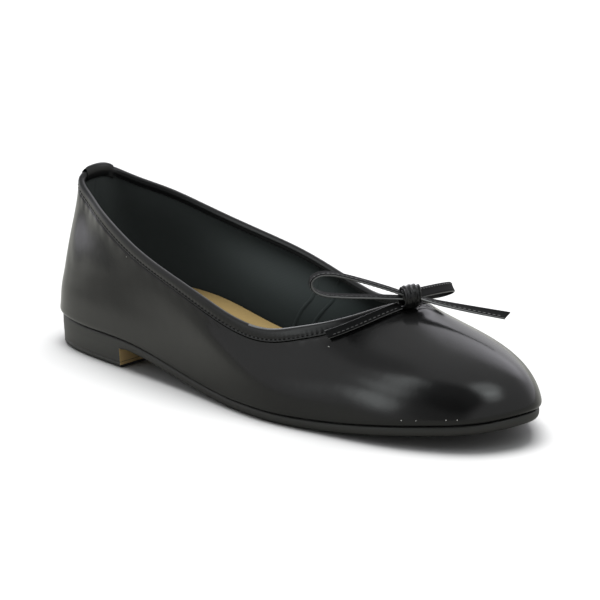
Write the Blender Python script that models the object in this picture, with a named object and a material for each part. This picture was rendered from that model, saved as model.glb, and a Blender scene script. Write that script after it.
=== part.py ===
# Right ballet flat, low heel, narrow lace bow. Metres, +X to the toe, +Y to the inner side, +Z up from the floor.
# The upper is worked out from two loops, the feather line round the sole and the topline round the collar,
# and one rib between them at each step round the shoe. Every other piece is set off from those ribs.
from collections import namedtuple

import bmesh
import bpy
import numpy as np

# Driving sizes
LENGTH = 0.245
BALL_WIDTH = 0.080
COUNTER_HEIGHT = 0.0560
INSTEP_HEIGHT = 0.0325
HEEL_HEIGHT = 0.0084
TOE_SPRING = 0.0096
BREAST_FROM_BACK = 0.052

# Thicknesses
WALL = 0.0018
MARGIN_THICKNESS = 0.0012
MARGIN_WIDTH = 0.0080
SOLE_THICKNESS = 0.0042
INSOLE_THICKNESS = 0.0022
LIFT_THICKNESS = 0.0022
BINDING_THICKNESS = 0.0007
TAB_THICKNESS = 0.0007

# Edges and steps
GAP = 0.0003
FEATHER_RADIUS = 0.0020
FLOOR_CORNER = 0.0008
BAND_OUTSIDE = 0.0042
BAND_INSIDE = 0.0026
BINDING_PROUD = 0.0004
SKIVE_INSIDE = 0.00045
SOLE_INSET = 0.0013
SOLE_CHAMFER = 0.0007
HEEL_TAPER = 0.0003
LIFT_ROUND = 0.0010
TAB_OUTSIDE = 0.0085
TAB_INSIDE = 0.0055
TAB_RIBS = 4

# Leans and reaches of a rib, as shares of its height or of its run back to the topline
RIB_FULLNESS = 0.67
COLLAR_REACH = 0.35
COLLAR_LEAN = 0.12
RIDGE_REACH = 0.45
RIDGE_SLOPE = 0.38
VAMP_FROM = 0.53

# Bow
LACE_WIDTH = 0.0042
LACE_THICKNESS = 0.0012
LOOP_LENGTH_OUTER = 0.0392
LOOP_LENGTH_INNER = 0.0338
TAIL_LENGTH_INNER = 0.0385
TAIL_SLANT = 0.0022
KNOT_RADII = (0.0036, 0.0033, 0.0041)
KNOT_OVER_THROAT = (0.0049, -0.0012, 0.0034)

# The heel's middle lies this far to the inner side of the box's middle
HEEL_AXIS_Y = 0.0012
UP = np.array([0.0, 0.0, 1.0])

# A row for each rib, heel to toe. at and top_at are shares of LENGTH, the four widths are half widths as
# shares of BALL_WIDTH, heel is a share of HEEL_HEIGHT and spring of TOE_SPRING. quarter is a share of
# COUNTER_HEIGHT and vamp of INSTEP_HEIGHT, both over the feather line. swell is how far the wall leans out
# over its foot, as a share of its height.
Rib = namedtuple("Rib", "at outer inner heel spring top_at top_outer top_inner quarter vamp swell")
RIBS = [
    Rib(0.000, 0.000, 0.000, 1.00, 0.00, 0.043, 0.000, 0.000, 1.000, 0.00, -0.12),
    Rib(0.020, 0.183, 0.177, 1.00, 0.00, 0.047, 0.106, 0.108, 0.970, 0.00, -0.12),
    Rib(0.065, 0.284, 0.286, 0.99, 0.00, 0.085, 0.163, 0.182, 0.900, 0.00, -0.11),
    Rib(0.139, 0.338, 0.335, 0.95, 0.00, 0.149, 0.246, 0.268, 0.820, 0.00, -0.08),
    Rib(0.253, 0.379, 0.318, 0.88, 0.00, 0.251, 0.334, 0.349, 0.694, 0.00, -0.05),
    Rib(0.388, 0.429, 0.290, 0.30, 0.00, 0.361, 0.395, 0.398, 0.585, 0.15, -0.02),
    Rib(0.510, 0.492, 0.335, 0.00, 0.00, 0.460, 0.427, 0.424, 0.330, 0.47, 0.00),
    Rib(0.612, 0.518, 0.423, 0.00, 0.00, 0.551, 0.422, 0.411, 0.080, 0.77, -0.02),
    Rib(0.714, 0.484, 0.483, 0.00, 0.11, 0.625, 0.377, 0.365, 0.000, 0.96, -0.05),
    Rib(0.816, 0.436, 0.461, 0.00, 0.38, 0.685, 0.285, 0.278, 0.000, 1.01, -0.09),
    Rib(0.906, 0.338, 0.372, 0.00, 0.63, 0.719, 0.176, 0.178, 0.000, 1.04, -0.11),
    Rib(0.971, 0.192, 0.217, 0.00, 0.82, 0.735, 0.077, 0.080, 0.000, 1.035, -0.11),
    Rib(1.000, -0.036, 0.036, 0.00, 1.00, 0.739, 0.000, 0.000, 0.000, 0.995, -0.11),
]

# The centre line of a loop of the bow, out from the knot and back. along and over are shares of its length.
Fold = namedtuple("Fold", "along over")
OUTER_LOOP = [
    Fold(0.110, 0.030),
    Fold(0.250, 0.065),
    Fold(0.500, 0.120),
    Fold(0.740, 0.162),
    Fold(0.890, 0.162),
    Fold(0.975, 0.122),
    Fold(1.000, 0.060),
    Fold(0.965, -0.005),
    Fold(0.860, -0.048),
    Fold(0.700, -0.055),
    Fold(0.450, -0.044),
    Fold(0.250, -0.034),
    Fold(0.115, -0.028),
]
INNER_LOOP = [
    Fold(0.115, 0.024),
    Fold(0.300, 0.055),
    Fold(0.580, 0.080),
    Fold(0.800, 0.080),
    Fold(0.940, 0.055),
    Fold(1.000, 0.000),
    Fold(0.940, -0.055),
    Fold(0.800, -0.080),
    Fold(0.540, -0.068),
    Fold(0.280, -0.036),
    Fold(0.115, -0.024),
]

# The inner tail stands clear of the vamp. Along it in shares of its length, and how far it sags, turned in degrees.
Tail = namedtuple("Tail", "along sag turn")
INNER_TAIL = [
    Tail(0.118, 0.000, 6.0),
    Tail(0.300, -0.010, 0.0),
    Tail(0.550, -0.009, -8.0),
    Tail(0.800, -0.003, -14.0),
    Tail(1.000, 0.004, -18.0),
]

# The outer tail lies along the binding. place counts ribs from the back, depth is in binding widths.
Lie = namedtuple("Lie", "place depth")
OUTER_TAIL = [
    Lie(11.05, 0.84),
    Lie(10.60, 0.90),
    Lie(9.95, 1.02),
    Lie(9.50, 1.10),
    Lie(9.10, 1.19),
    Lie(8.70, 1.31),
]
LAST_RIB = len(RIBS) - 1
ROUND = 2 * LAST_RIB
RIB_COUNT = 84
RIB_STEPS = 40


def unit(vectors):
    """Vectors made one long."""
    return vectors / np.linalg.norm(vectors, axis=-1, keepdims=True)


def both_sides(row_to_point):
    """The table's points: down the outer side from the back to the toe, then back up the inner side."""
    outer = [row_to_point(rib, -1) for rib in RIBS[:-1]]
    inner = [row_to_point(rib, 1) for rib in reversed(RIBS[1:])]
    return np.array(outer + inner)


def foot_point(rib, side):
    """A point of the feather line, with the wall's swell there as a fourth number."""
    half = rib.outer if side < 0 else rib.inner
    rise = rib.heel * HEEL_HEIGHT + rib.spring * TOE_SPRING + SOLE_THICKNESS
    return (rib.at * LENGTH - LENGTH / 2, side * half * BALL_WIDTH + HEEL_AXIS_Y, rise, rib.swell)


def top_point(rib, side):
    """A point of the topline."""
    half = rib.top_outer if side < 0 else rib.top_inner
    rise = foot_point(rib, side)[2] + rib.quarter * COUNTER_HEIGHT + rib.vamp * INSTEP_HEIGHT
    return (rib.top_at * LENGTH - LENGTH / 2, side * half * BALL_WIDTH + HEEL_AXIS_Y, rise)


def closed_curve(points):
    """A closed cubic through the points, one unit of place between neighbours."""
    count = len(points)
    before, after = np.roll(points, 1, axis=0), np.roll(points, -1, axis=0)
    eye = np.eye(count)
    matrix = 4 * eye + np.roll(eye, 1, axis=0) + np.roll(eye, -1, axis=0)
    bend = np.linalg.solve(matrix, before - 2 * points + after)

    def at(place):
        place = np.mod(np.asarray(place, float), count)
        start = np.floor(place).astype(int) % count
        end = (start + 1) % count
        v = (place - np.floor(place))[:, None]
        u = 1 - v
        return u * points[start] + v * points[end] + (u**3 - u) * bend[start] + (v**3 - v) * bend[end]

    return at


feather_curve = closed_curve(both_sides(foot_point))
top_curve = closed_curve(both_sides(top_point))


def feather(place):
    """Points of the feather line, never lower than a sole that lies flat on the floor."""
    points = feather_curve(place)[:, :3]
    points[:, 2] = np.maximum(points[:, 2], SOLE_THICKNESS)
    return points


def underside(x):
    """How high the last's underside is at this x, which is the same right across the foot."""
    line = feather(np.linspace(0, LAST_RIB, 241))
    return np.interp(x, line[:, 0], line[:, 2])


def outward(place):
    """The level direction out of the feather line."""
    ahead = feather(place + 0.02) - feather(place - 0.02)
    return unit(np.stack([ahead[:, 1], -ahead[:, 0], 0 * ahead[:, 0]], axis=-1))


def rib_curves(place):
    """The finished outer surface: for each place a curve from the topline down to the feather line."""
    foot, top, out = feather(place), top_curve(place), outward(place)
    swell = feather_curve(place)[:, 3:]
    height = (top - foot)[:, 2:]
    run = (top - foot) * (1 - UP)
    reach = np.linalg.norm(top - foot, axis=1, keepdims=True)
    share = (foot[:, :1] / LENGTH + 0.5 - VAMP_FROM) / (1 - VAMP_FROM)
    toe = np.clip(share, 0, 1) ** 1.5
    low = foot + (UP + swell * out) * RIB_FULLNESS * height
    side_pull = COLLAR_REACH * height * (UP - COLLAR_LEAN * out)
    ridge_pull = RIDGE_REACH * (run + RIDGE_SLOPE * reach * UP)
    high = top - (1 - toe) * side_pull - toe * ridge_pull
    s = np.linspace(1, 0, RIB_STEPS + 1)[:, None, None]
    return (1 - s) ** 3 * foot + 3 * (1 - s) ** 2 * s * low + 3 * (1 - s) * s**2 * high + s**3 * top


class Wall:
    """The finished outer surface at a row of places round the shoe."""

    def __init__(self, place):
        self.place = np.asarray(place, float)
        self.curves = rib_curves(self.place)
        around = rib_curves(self.place + 0.02) - rib_curves(self.place - 0.02)
        down = np.gradient(self.curves, axis=0)
        self.normals = unit(np.cross(down, around))
        steps = np.linalg.norm(np.diff(self.curves, axis=0), axis=2)
        self.depths = np.vstack([0 * steps[:1], np.cumsum(steps, axis=0)])
        self.foot = feather(self.place)
        self.out = outward(self.place)

    def at(self, depth, out):
        """Points this far down from the topline along the surface, and this far outside it."""
        depth = np.broadcast_to(depth, self.place.shape)
        points = np.empty((len(self.place), 3))
        for i, wanted in enumerate(depth):
            row = [np.interp(wanted, self.depths[:, i], self.curves[:, i, k]) for k in range(3)]
            lean = [np.interp(wanted, self.depths[:, i], self.normals[:, i, k]) for k in range(3)]
            over = min(wanted, 0.0) * unit(self.curves[1, i] - self.curves[0, i])
            points[i] = np.array(row) + over + out * unit(np.array(lean))
        return points

    def lean(self, height):
        """How far the surface has drawn in from the feather line at this height over it."""
        inward = np.einsum("sik,ik->si", self.foot - self.curves, self.out)
        rise = self.curves[:, :, 2] - self.foot[:, 2]
        return np.array([np.interp(height, r[::-1], d[::-1]) for r, d in zip(rise.T, inward.T)])

    def low(self, inward, height):
        """Points this far inside the feather line and this far above the last's underside there."""
        points = self.foot - np.broadcast_to(inward, self.place.shape)[:, None] * self.out
        points[:, 2] = underside(points[:, 0]) + height
        return points


def material(name, colour, roughness):
    """A plain material."""
    made = bpy.data.materials.new(name)
    made.use_nodes = True
    shader = made.node_tree.nodes["Principled BSDF"]
    shader.inputs["Base Color"].default_value = (*colour, 1.0)
    shader.inputs["Roughness"].default_value = roughness
    shader.inputs["Metallic"].default_value = 0.0
    return made


def make_object(name, points, faces, surface):
    """One named object from points and faces."""
    mesh = bpy.data.meshes.new(name)
    mesh.from_pydata([tuple(p) for p in points], [], faces)
    work = bmesh.new()
    work.from_mesh(mesh)
    bmesh.ops.recalc_face_normals(work, faces=work.faces)
    work.to_mesh(mesh)
    work.free()
    mesh.materials.append(surface)
    mesh.shade_smooth()
    made = bpy.data.objects.new(name, mesh)
    bpy.context.scene.collection.objects.link(made)
    return made


def sweep(name, sections, surface, closed):
    """A strip of sections, each an outer line and an inner line end to end, so that its ends close in quads."""
    runs, count = sections.shape[:2]
    faces = []
    for i in range(runs if closed else runs - 1):
        j = (i + 1) % runs
        for k in range(count):
            m = (k + 1) % count
            faces.append((i * count + k, i * count + m, j * count + m, j * count + k))
    if not closed:
        last = (runs - 1) * count
        for k in range(count // 2 - 1):
            near, far = k, count - 1 - k
            faces.append((near, far, far - 1, near + 1))
            faces.append((last + near, last + near + 1, last + far - 1, last + far))
    return make_object(name, sections.reshape(-1, 3), faces, surface)


def plate(name, levels, surface, across, open_front=False):
    """A plate of stacked outlines, top first. Each has its outer and its inner side, back to front."""
    points, faces, rims, grids = [], [], [], []
    shares = np.linspace(0, 1, across + 1)
    for number, (outer, inner) in enumerate(levels):
        capped = number in (0, len(levels) - 1)
        grid = []
        for i in range(len(outer)):
            single = i == 0 or (i == len(outer) - 1 and not open_front)
            front = open_front and i == len(outer) - 1
            picks = [0] if single else shares if capped or front else [0, 1]
            row = []
            for share in picks:
                row.append(len(points))
                points.append((1 - share) * outer[i] + share * inner[i])
            grid.append(row)
        front_row = grid[-1][1:-1] if open_front else []
        inner_side = [row[-1] for row in grid[:0:-1]] if open_front else [row[-1] for row in grid[-2:0:-1]]
        rims.append([row[0] for row in grid] + front_row + inner_side)
        grids.append(grid)
    for upper_rim, lower_rim in zip(rims, rims[1:]):
        count = len(upper_rim)
        for k in range(count):
            m = (k + 1) % count
            faces.append((upper_rim[k], lower_rim[k], lower_rim[m], upper_rim[m]))
    for grid, flip in ((grids[0], False), (grids[-1], True)):
        for back, front in zip(grid, grid[1:]):
            for k in range(across):
                corners = [back[min(k, len(back) - 1)], front[min(k, len(front) - 1)]]
                corners += [front[min(k + 1, len(front) - 1)], back[min(k + 1, len(back) - 1)]]
                corners = list(dict.fromkeys(corners))
                faces.append(tuple(reversed(corners)) if flip else tuple(corners))
    return make_object(name, points, faces, surface)


def side_lists(points, front):
    """Splits a loop of places into its outer side and its inner side, back to front."""
    return points[: front + 1], np.vstack([points[:1], points[: front - 1 : -1]])


black_leather = material("black_leather", (0.020, 0.021, 0.022), 0.30)
edge_leather = material("edge_leather", (0.022, 0.022, 0.024), 0.35)
lace_leather = material("lace_leather", (0.018, 0.018, 0.019), 0.40)
tan_sock = material("tan_sock", (0.42, 0.29, 0.13), 0.55)
black_rubber = material("black_rubber", (0.028, 0.028, 0.028), 0.60)
tan_heel = material("tan_heel", (0.30, 0.19, 0.08), 0.50)

for leftover in list(bpy.context.scene.objects):
    bpy.data.objects.remove(leftover, do_unlink=True)

around = np.arange(RIB_COUNT) * ROUND / RIB_COUNT
TOE_INDEX = RIB_COUNT // 2
shell = Wall(around)


def make_upper():
    """The hollow shell: a wall, skived where the binding grips it, with its margin turned in below."""
    skive_outside = BINDING_THICKNESS + GAP - BINDING_PROUD
    edge = BINDING_THICKNESS + 2 * GAP
    core_inside = -(WALL - SKIVE_INSIDE)
    band = BAND_OUTSIDE + GAP
    lining = BAND_INSIDE + GAP
    bottom = shell.depths[-1] - FEATHER_RADIUS
    outside = [shell.at(edge, -skive_outside), shell.at(band, -skive_outside), shell.at(band + GAP, 0.0)]
    for share in (0.13, 0.27, 0.42, 0.57, 0.72, 0.87, 1.0):
        outside.append(shell.at(band + GAP + share * (bottom - band - GAP), 0.0))
    outside.append(shell.low(0.3 * FEATHER_RADIUS, 0.3 * FEATHER_RADIUS))
    outside.append(shell.low(FEATHER_RADIUS, 0.0))
    outside.append(shell.low(MARGIN_WIDTH, 0.0))
    inside = [shell.at(edge, core_inside), shell.at(lining, core_inside), shell.at(lining + GAP, -WALL)]
    for share in (0.20, 0.42, 0.66, 0.90):
        inside.append(shell.at(lining + GAP + share * (bottom - lining - GAP), -WALL))
    corner = MARGIN_THICKNESS + FLOOR_CORNER
    inside.append(shell.low(WALL + shell.lean(corner), corner))
    inside.append(shell.low(WALL + FLOOR_CORNER, MARGIN_THICKNESS))
    inside.append(shell.low(MARGIN_WIDTH, MARGIN_THICKNESS))
    section = np.stack(outside + inside[::-1], axis=1)
    return sweep("upper", section, black_leather, closed=True)


def folded_strip(wall, outer_face, inner_face, thickness, crest, outside, inside):
    """Sections of a strip folded over the topline, from its outer foot over the crest to its inner foot."""
    middle = (outer_face + inner_face) / 2
    half = (outer_face - inner_face) / 2
    skin = [wall.at(outside, outer_face)]
    core = [wall.at(outside, outer_face - thickness)]
    for angle in np.radians((0, 45, 90, 135, 180)):
        lean, rise = np.cos(angle), np.sin(angle)
        skin.append(wall.at(crest + half * (1 - rise), middle + half * lean))
        core.append(wall.at(crest + half - (half - thickness) * rise, middle + (half - thickness) * lean))
    skin.append(wall.at(inside, inner_face))
    core.append(wall.at(inside, inner_face + thickness))
    return np.stack(skin + core[::-1], axis=1)


BINDING_INNER_FACE = -(WALL - SKIVE_INSIDE) - GAP - BINDING_THICKNESS


def make_binding():
    """The strip folded over the whole topline."""
    section = folded_strip(
        shell, BINDING_PROUD, BINDING_INNER_FACE, BINDING_THICKNESS, 0.0, BAND_OUTSIDE, BAND_INSIDE
    )
    return sweep("topline_binding", section, edge_leather, closed=True)


def make_back_tab():
    """The strip folded over the binding at the back."""
    wall = Wall(np.arange(-TAB_RIBS, TAB_RIBS + 1) * ROUND / RIB_COUNT)
    lift = GAP + TAB_THICKNESS
    section = folded_strip(
        wall, BINDING_PROUD + lift, BINDING_INNER_FACE - lift, TAB_THICKNESS, -lift, TAB_OUTSIDE, TAB_INSIDE
    )
    return sweep("back_tab", section, black_leather, closed=False)


def sole_bottom(points):
    """The same points on the underside of the sole."""
    lowered = points - SOLE_THICKNESS * UP
    lowered[:, 2] = np.where(lowered[:, 2] < 1e-6, 0.0, lowered[:, 2])
    return lowered


def make_outsole():
    """The thin sole under the upper, flat under the ball of the foot."""
    edge, tread = shell.low(SOLE_INSET, 0.0), shell.low(SOLE_INSET + SOLE_CHAMFER, 0.0)
    levels = [
        shell.low(SOLE_INSET + SOLE_CHAMFER, -GAP),
        shell.low(SOLE_INSET, -GAP - SOLE_CHAMFER),
        sole_bottom(edge) + SOLE_CHAMFER * UP,
        sole_bottom(tread),
    ]
    return plate("outsole", [side_lists(level, TOE_INDEX) for level in levels], black_rubber, 6)


def make_insole():
    """The board and sock on top of the turned margin."""
    base = MARGIN_THICKNESS + GAP
    inset = WALL + 2 * GAP + shell.lean(base + INSOLE_THICKNESS)
    levels = [
        shell.low(inset, base + INSOLE_THICKNESS),
        shell.low(inset, base + FLOOR_CORNER),
        shell.low(inset + FLOOR_CORNER, base),
    ]
    return plate("insole", [side_lists(level, TOE_INDEX) for level in levels], tan_sock, 6)


def heel_places():
    """Places on the outer side from the back to the breast."""
    fine = np.linspace(0, LAST_RIB, 1201)
    breast = fine[np.searchsorted(feather(fine)[:, 0], BREAST_FROM_BACK - LENGTH / 2)]
    return np.linspace(0, breast, 15)


def heel_level(inset, height=None):
    """One outline of the heel, at the sole's underside or at a level height."""
    sides = []
    for place in (heel_places(), ROUND - heel_places()):
        points = sole_bottom(Wall(place).low(inset, 0.0)) - GAP * UP
        if height is not None:
            points[:, 2] = height
        points[-1, 0] = BREAST_FROM_BACK - LENGTH / 2
        sides.append(points)
    return tuple(sides)


def make_heel():
    """The block under the seat."""
    levels = [heel_level(SOLE_INSET), heel_level(SOLE_INSET + HEEL_TAPER, LIFT_THICKNESS + GAP)]
    return plate("heel", levels, tan_heel, 5, open_front=True)


def make_top_lift():
    """The rubber layer that meets the floor, its lower edge rounded off."""
    inset = SOLE_INSET + HEEL_TAPER
    levels = [
        heel_level(inset, LIFT_THICKNESS),
        heel_level(inset + 0.2 * LIFT_ROUND, 0.45 * LIFT_THICKNESS),
        heel_level(inset + LIFT_ROUND, 0.0),
    ]
    return plate("top_lift", levels, black_rubber, 5, open_front=True)


def knot_centre():
    """The middle of the knot, just in front of the throat."""
    return top_curve(np.array([float(LAST_RIB)]))[0] + np.array(KNOT_OVER_THROAT)


def make_knot():
    """The knot, a squared-off ball that the lace's turns are later drawn on."""
    turns, rings, squareness = 16, 9, 0.8
    points, faces = [], []
    for i in range(rings):
        tilt = np.pi * (i + 0.5) / rings
        for k in range(turns):
            turn = 2 * np.pi * k / turns
            ball = np.array([np.sin(tilt) * np.cos(turn), np.sin(tilt) * np.sin(turn), np.cos(tilt)])
            points.append(knot_centre() + np.array(KNOT_RADII) * np.sign(ball) * np.abs(ball) ** squareness)
    for i in range(rings - 1):
        for k in range(turns):
            m = (k + 1) % turns
            a, b = i * turns, (i + 1) * turns
            faces.append((a + k, b + k, b + m, a + m))
    faces.append(tuple(range(turns)))
    faces.append(tuple(reversed(range((rings - 1) * turns, rings * turns))))
    return make_object("bow_knot", points, faces, lace_leather)


def smooth_line(rows, steps):
    """An open smooth curve through rows of numbers, evenly stepped between them."""
    rows = np.array(rows, float)
    padded = np.vstack([2 * rows[0] - rows[1], rows, 2 * rows[-1] - rows[-2]])
    line = []
    for i in range(1, len(padded) - 2):
        before, start, end, after = padded[i - 1 : i + 3]
        for t in np.linspace(0, 1, steps, endpoint=False):
            line.append(
                0.5
                * (
                    2 * start
                    + (end - before) * t
                    + (2 * before - 5 * start + 4 * end - after) * t**2
                    + (3 * start - before - 3 * end + after) * t**3
                )
            )
    return np.array(line + [rows[-1]])


def lace_sections(line, width_ways, slant=0.0):
    """Sections of the flat lace along a line. width_ways points across its width at each point."""
    ahead = unit(np.gradient(line, axis=0))
    across = unit(width_ways - np.sum(width_ways * ahead, axis=1, keepdims=True) * ahead)
    over = np.cross(ahead, across)
    edge = 0.3 * LACE_THICKNESS
    half_w, half_t = LACE_WIDTH / 2, LACE_THICKNESS / 2
    outline = [(-half_w, half_t - edge), (edge - half_w, half_t), (half_w - edge, half_t), (half_w, half_t - edge)]
    outline += [(w, -t) for w, t in reversed(outline)]
    sections = []
    for w, t in outline:
        row = line + w * across + t * over
        row[-1] += ahead[-1] * slant * w / LACE_WIDTH
        sections.append(row)
    return np.stack(sections, axis=1)


def make_loop(name, folds, length, ahead, across):
    """A loop of lace that leaves the knot and comes back to it."""
    ahead = unit(np.array(ahead, float))
    across = np.array(across, float)
    across = unit(across - across.dot(ahead) * ahead)
    over = np.cross(ahead, across)
    over *= np.sign(over[2])
    line = smooth_line([(fold.along * length, fold.over * length) for fold in folds], 2)
    path = knot_centre() + line[:, :1] * ahead + line[:, 1:] * over
    return sweep(name, lace_sections(path, np.tile(across, (len(path), 1))), lace_leather, closed=False)


def make_inner_tail():
    """The tail on the inner side, which stands out clear of the vamp."""
    ahead = unit(np.array([0.68, 0.70, -0.24]))
    level = unit(np.array([ahead[1], -ahead[0], 0.0]))
    rise = np.cross(level, ahead)
    line = smooth_line([(row.along, row.sag, np.radians(row.turn)) for row in INNER_TAIL], 2)
    path = knot_centre() + TAIL_LENGTH_INNER * (line[:, :1] * ahead + line[:, 1:2] * rise)
    across = np.cos(line[:, 2:]) * level + np.sin(line[:, 2:]) * rise
    return sweep("bow_tail_inner", lace_sections(path, across, -TAIL_SLANT), lace_leather, closed=False)


def make_outer_tail():
    """The tail on the outer side, which lies flat along the binding."""
    line = smooth_line([(row.place, row.depth * BAND_OUTSIDE) for row in OUTER_TAIL], 3)
    wall = Wall(line[:, 0])
    under = BINDING_PROUD + 1.5 * GAP
    edge = 0.3 * LACE_THICKNESS
    low, high = line[:, 1] - LACE_WIDTH / 2, line[:, 1] + LACE_WIDTH / 2
    top = under + LACE_THICKNESS
    corners = [(low, top - edge), (low + edge, top), (high - edge, top), (high, top - edge)]
    corners += [(high, under + edge), (high - edge, under), (low + edge, under), (low, under + edge)]
    section = np.stack([wall.at(depth, out) for depth, out in corners], axis=1)
    return sweep("bow_tail_outer", section, lace_leather, closed=False)


make_upper()
make_binding()
make_back_tab()
make_outsole()
make_insole()
make_heel()
make_top_lift()
make_knot()
make_loop("bow_loop_outer", OUTER_LOOP, LOOP_LENGTH_OUTER, (-0.536, -0.829, 0.153), (0.849, -0.514, -0.089))
make_loop("bow_loop_inner", INNER_LOOP, LOOP_LENGTH_INNER, (-0.265, 0.947, -0.180), (-0.523, -0.060, 0.852))
make_outer_tail()
make_inner_tail()
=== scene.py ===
# %% [markdown]
# # A black ballet flat with a lace bow
# A ballet flat is a soft leather shell pulled over a wooden last, cemented to a thin sole. Everything that
# gives it character is thin: a folded binding round the collar, a row of stitches, a flat lace tied in a
# small bow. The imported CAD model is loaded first. It fixes where each piece lies, and the cells below build
# a finer piece for each of its solids, in metres, with the toe along +X, the inner side of the foot at +Y
# and the floor at 0.

from collections import namedtuple

import bmesh
import bpy
import numpy as np
from mathutils import Matrix, Vector


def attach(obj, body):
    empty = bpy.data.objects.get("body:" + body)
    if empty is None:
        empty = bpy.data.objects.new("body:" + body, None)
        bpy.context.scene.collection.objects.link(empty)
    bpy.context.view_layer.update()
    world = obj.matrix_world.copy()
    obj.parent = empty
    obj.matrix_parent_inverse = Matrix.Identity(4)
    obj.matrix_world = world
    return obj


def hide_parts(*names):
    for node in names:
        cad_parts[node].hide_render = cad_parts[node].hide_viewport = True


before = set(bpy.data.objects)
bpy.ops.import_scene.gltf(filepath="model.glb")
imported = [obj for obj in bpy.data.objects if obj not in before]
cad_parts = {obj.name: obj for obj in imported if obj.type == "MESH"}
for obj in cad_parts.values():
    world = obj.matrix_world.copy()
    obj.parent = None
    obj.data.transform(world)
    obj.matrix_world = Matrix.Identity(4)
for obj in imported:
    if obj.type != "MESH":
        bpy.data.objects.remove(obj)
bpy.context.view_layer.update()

# %% [markdown]
# ## The camera
# A product photographer stands well back with a long lens, so that the toe isn't swollen by perspective.
# The camera looks from the outer front quarter, a little above the collar, and is rolled by just over a
# degree.

# %% Camera
CAMERA_AZIMUTH = np.radians(45.385)
CAMERA_ELEVATION = np.radians(16.525)
CAMERA_ROLL = np.radians(1.315)
CAMERA_DISTANCE = 3.1064
LOOKED_AT = np.array([0.0, 0.0012, 0.030])
LENS = 479.93
SENSOR_WIDTH = 36.0
LENS_SHIFT = (0.00839, 0.02147)

level_back = np.array([np.sin(CAMERA_AZIMUTH), -np.cos(CAMERA_AZIMUTH), 0.0])
back = np.cos(CAMERA_ELEVATION) * level_back + np.array([0.0, 0.0, np.sin(CAMERA_ELEVATION)])
level_right = np.array([np.cos(CAMERA_AZIMUTH), np.sin(CAMERA_AZIMUTH), 0.0])
level_up = np.cross(back, level_right)
right = np.cos(CAMERA_ROLL) * level_right - np.sin(CAMERA_ROLL) * level_up
up = np.sin(CAMERA_ROLL) * level_right + np.cos(CAMERA_ROLL) * level_up
camera_data = bpy.data.cameras.new("camera")
camera_data.lens = LENS
camera_data.sensor_width = SENSOR_WIDTH
camera_data.shift_x, camera_data.shift_y = LENS_SHIFT
camera_data.clip_end = 50.0
camera = bpy.data.objects.new("camera", camera_data)
place = Matrix([[*row] for row in np.stack([right, up, back], axis=1)]).to_4x4()
place.translation = Vector(LOOKED_AT + CAMERA_DISTANCE * back)
camera.matrix_world = place
bpy.context.scene.collection.objects.link(camera)
bpy.context.scene.camera = camera
print("camera stands at", [round(v, 3) for v in place.translation])

# %% [markdown]
# ## The last
# A shoemaker's last is the solid foot that the leather is pulled over. Here it is two loops: the feather
# line, where the upper turns under, and the topline round the collar. A table gives both at thirteen ribs
# from the middle of the back to the toe. Down the outer side the place runs from 0 to 12, and back up the
# inner side from 12 to 24. A smooth closed curve through the rows gives every place between them.

# %% Sizes of the shoe
LENGTH = 0.245
BALL_WIDTH = 0.080
COUNTER_HEIGHT = 0.0560
INSTEP_HEIGHT = 0.0325
HEEL_HEIGHT = 0.0084
TOE_SPRING = 0.0096
BREAST_FROM_BACK = 0.052
WALL = 0.0018
MARGIN_THICKNESS = 0.0012
MARGIN_WIDTH = 0.0080
SOLE_THICKNESS = 0.0042
INSOLE_THICKNESS = 0.0022
LIFT_THICKNESS = 0.0022
SOLE_INSET = 0.0013
HEEL_TAPER = 0.0003
GAP = 0.0003
FEATHER_RADIUS = 0.0020
RIB_FULLNESS = 0.67
COLLAR_REACH = 0.35
COLLAR_LEAN = 0.12
RIDGE_REACH = 0.45
RIDGE_SLOPE = 0.38
VAMP_FROM = 0.53
HEEL_AXIS_Y = 0.0012
UP = np.array([0.0, 0.0, 1.0])
MM = 0.001

Rib = namedtuple("Rib", "at outer inner heel spring top_at top_outer top_inner quarter vamp swell")
RIBS = [
    Rib(0.000, 0.000, 0.000, 1.00, 0.00, 0.043, 0.000, 0.000, 1.000, 0.00, -0.12),
    Rib(0.020, 0.183, 0.177, 1.00, 0.00, 0.047, 0.106, 0.108, 0.970, 0.00, -0.12),
    Rib(0.065, 0.284, 0.286, 0.99, 0.00, 0.085, 0.163, 0.182, 0.900, 0.00, -0.11),
    Rib(0.139, 0.338, 0.335, 0.95, 0.00, 0.149, 0.246, 0.268, 0.820, 0.00, -0.08),
    Rib(0.253, 0.379, 0.318, 0.88, 0.00, 0.251, 0.334, 0.349, 0.694, 0.00, -0.05),
    Rib(0.388, 0.429, 0.290, 0.30, 0.00, 0.361, 0.395, 0.398, 0.585, 0.15, -0.02),
    Rib(0.510, 0.492, 0.335, 0.00, 0.00, 0.460, 0.427, 0.424, 0.330, 0.47, 0.00),
    Rib(0.612, 0.518, 0.423, 0.00, 0.00, 0.551, 0.422, 0.411, 0.080, 0.77, -0.02),
    Rib(0.714, 0.484, 0.483, 0.00, 0.11, 0.625, 0.377, 0.365, 0.000, 0.96, -0.05),
    Rib(0.816, 0.436, 0.461, 0.00, 0.38, 0.685, 0.285, 0.278, 0.000, 1.01, -0.09),
    Rib(0.906, 0.338, 0.372, 0.00, 0.63, 0.719, 0.176, 0.178, 0.000, 1.04, -0.11),
    Rib(0.971, 0.192, 0.217, 0.00, 0.82, 0.735, 0.077, 0.080, 0.000, 1.035, -0.11),
    Rib(1.000, -0.036, 0.036, 0.00, 1.00, 0.739, 0.000, 0.000, 0.000, 0.995, -0.11),
]
LAST_RIB = len(RIBS) - 1
ROUND = 2 * LAST_RIB


# %% Curves of the last
def unit(vectors):
    """Vectors made one long."""
    return vectors / np.linalg.norm(vectors, axis=-1, keepdims=True)


def ease(low, high, value):
    """0 below low, 1 above high, and smooth between them."""
    share = np.clip((value - low) / (high - low), 0, 1)
    return share * share * (3 - 2 * share)


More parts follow.
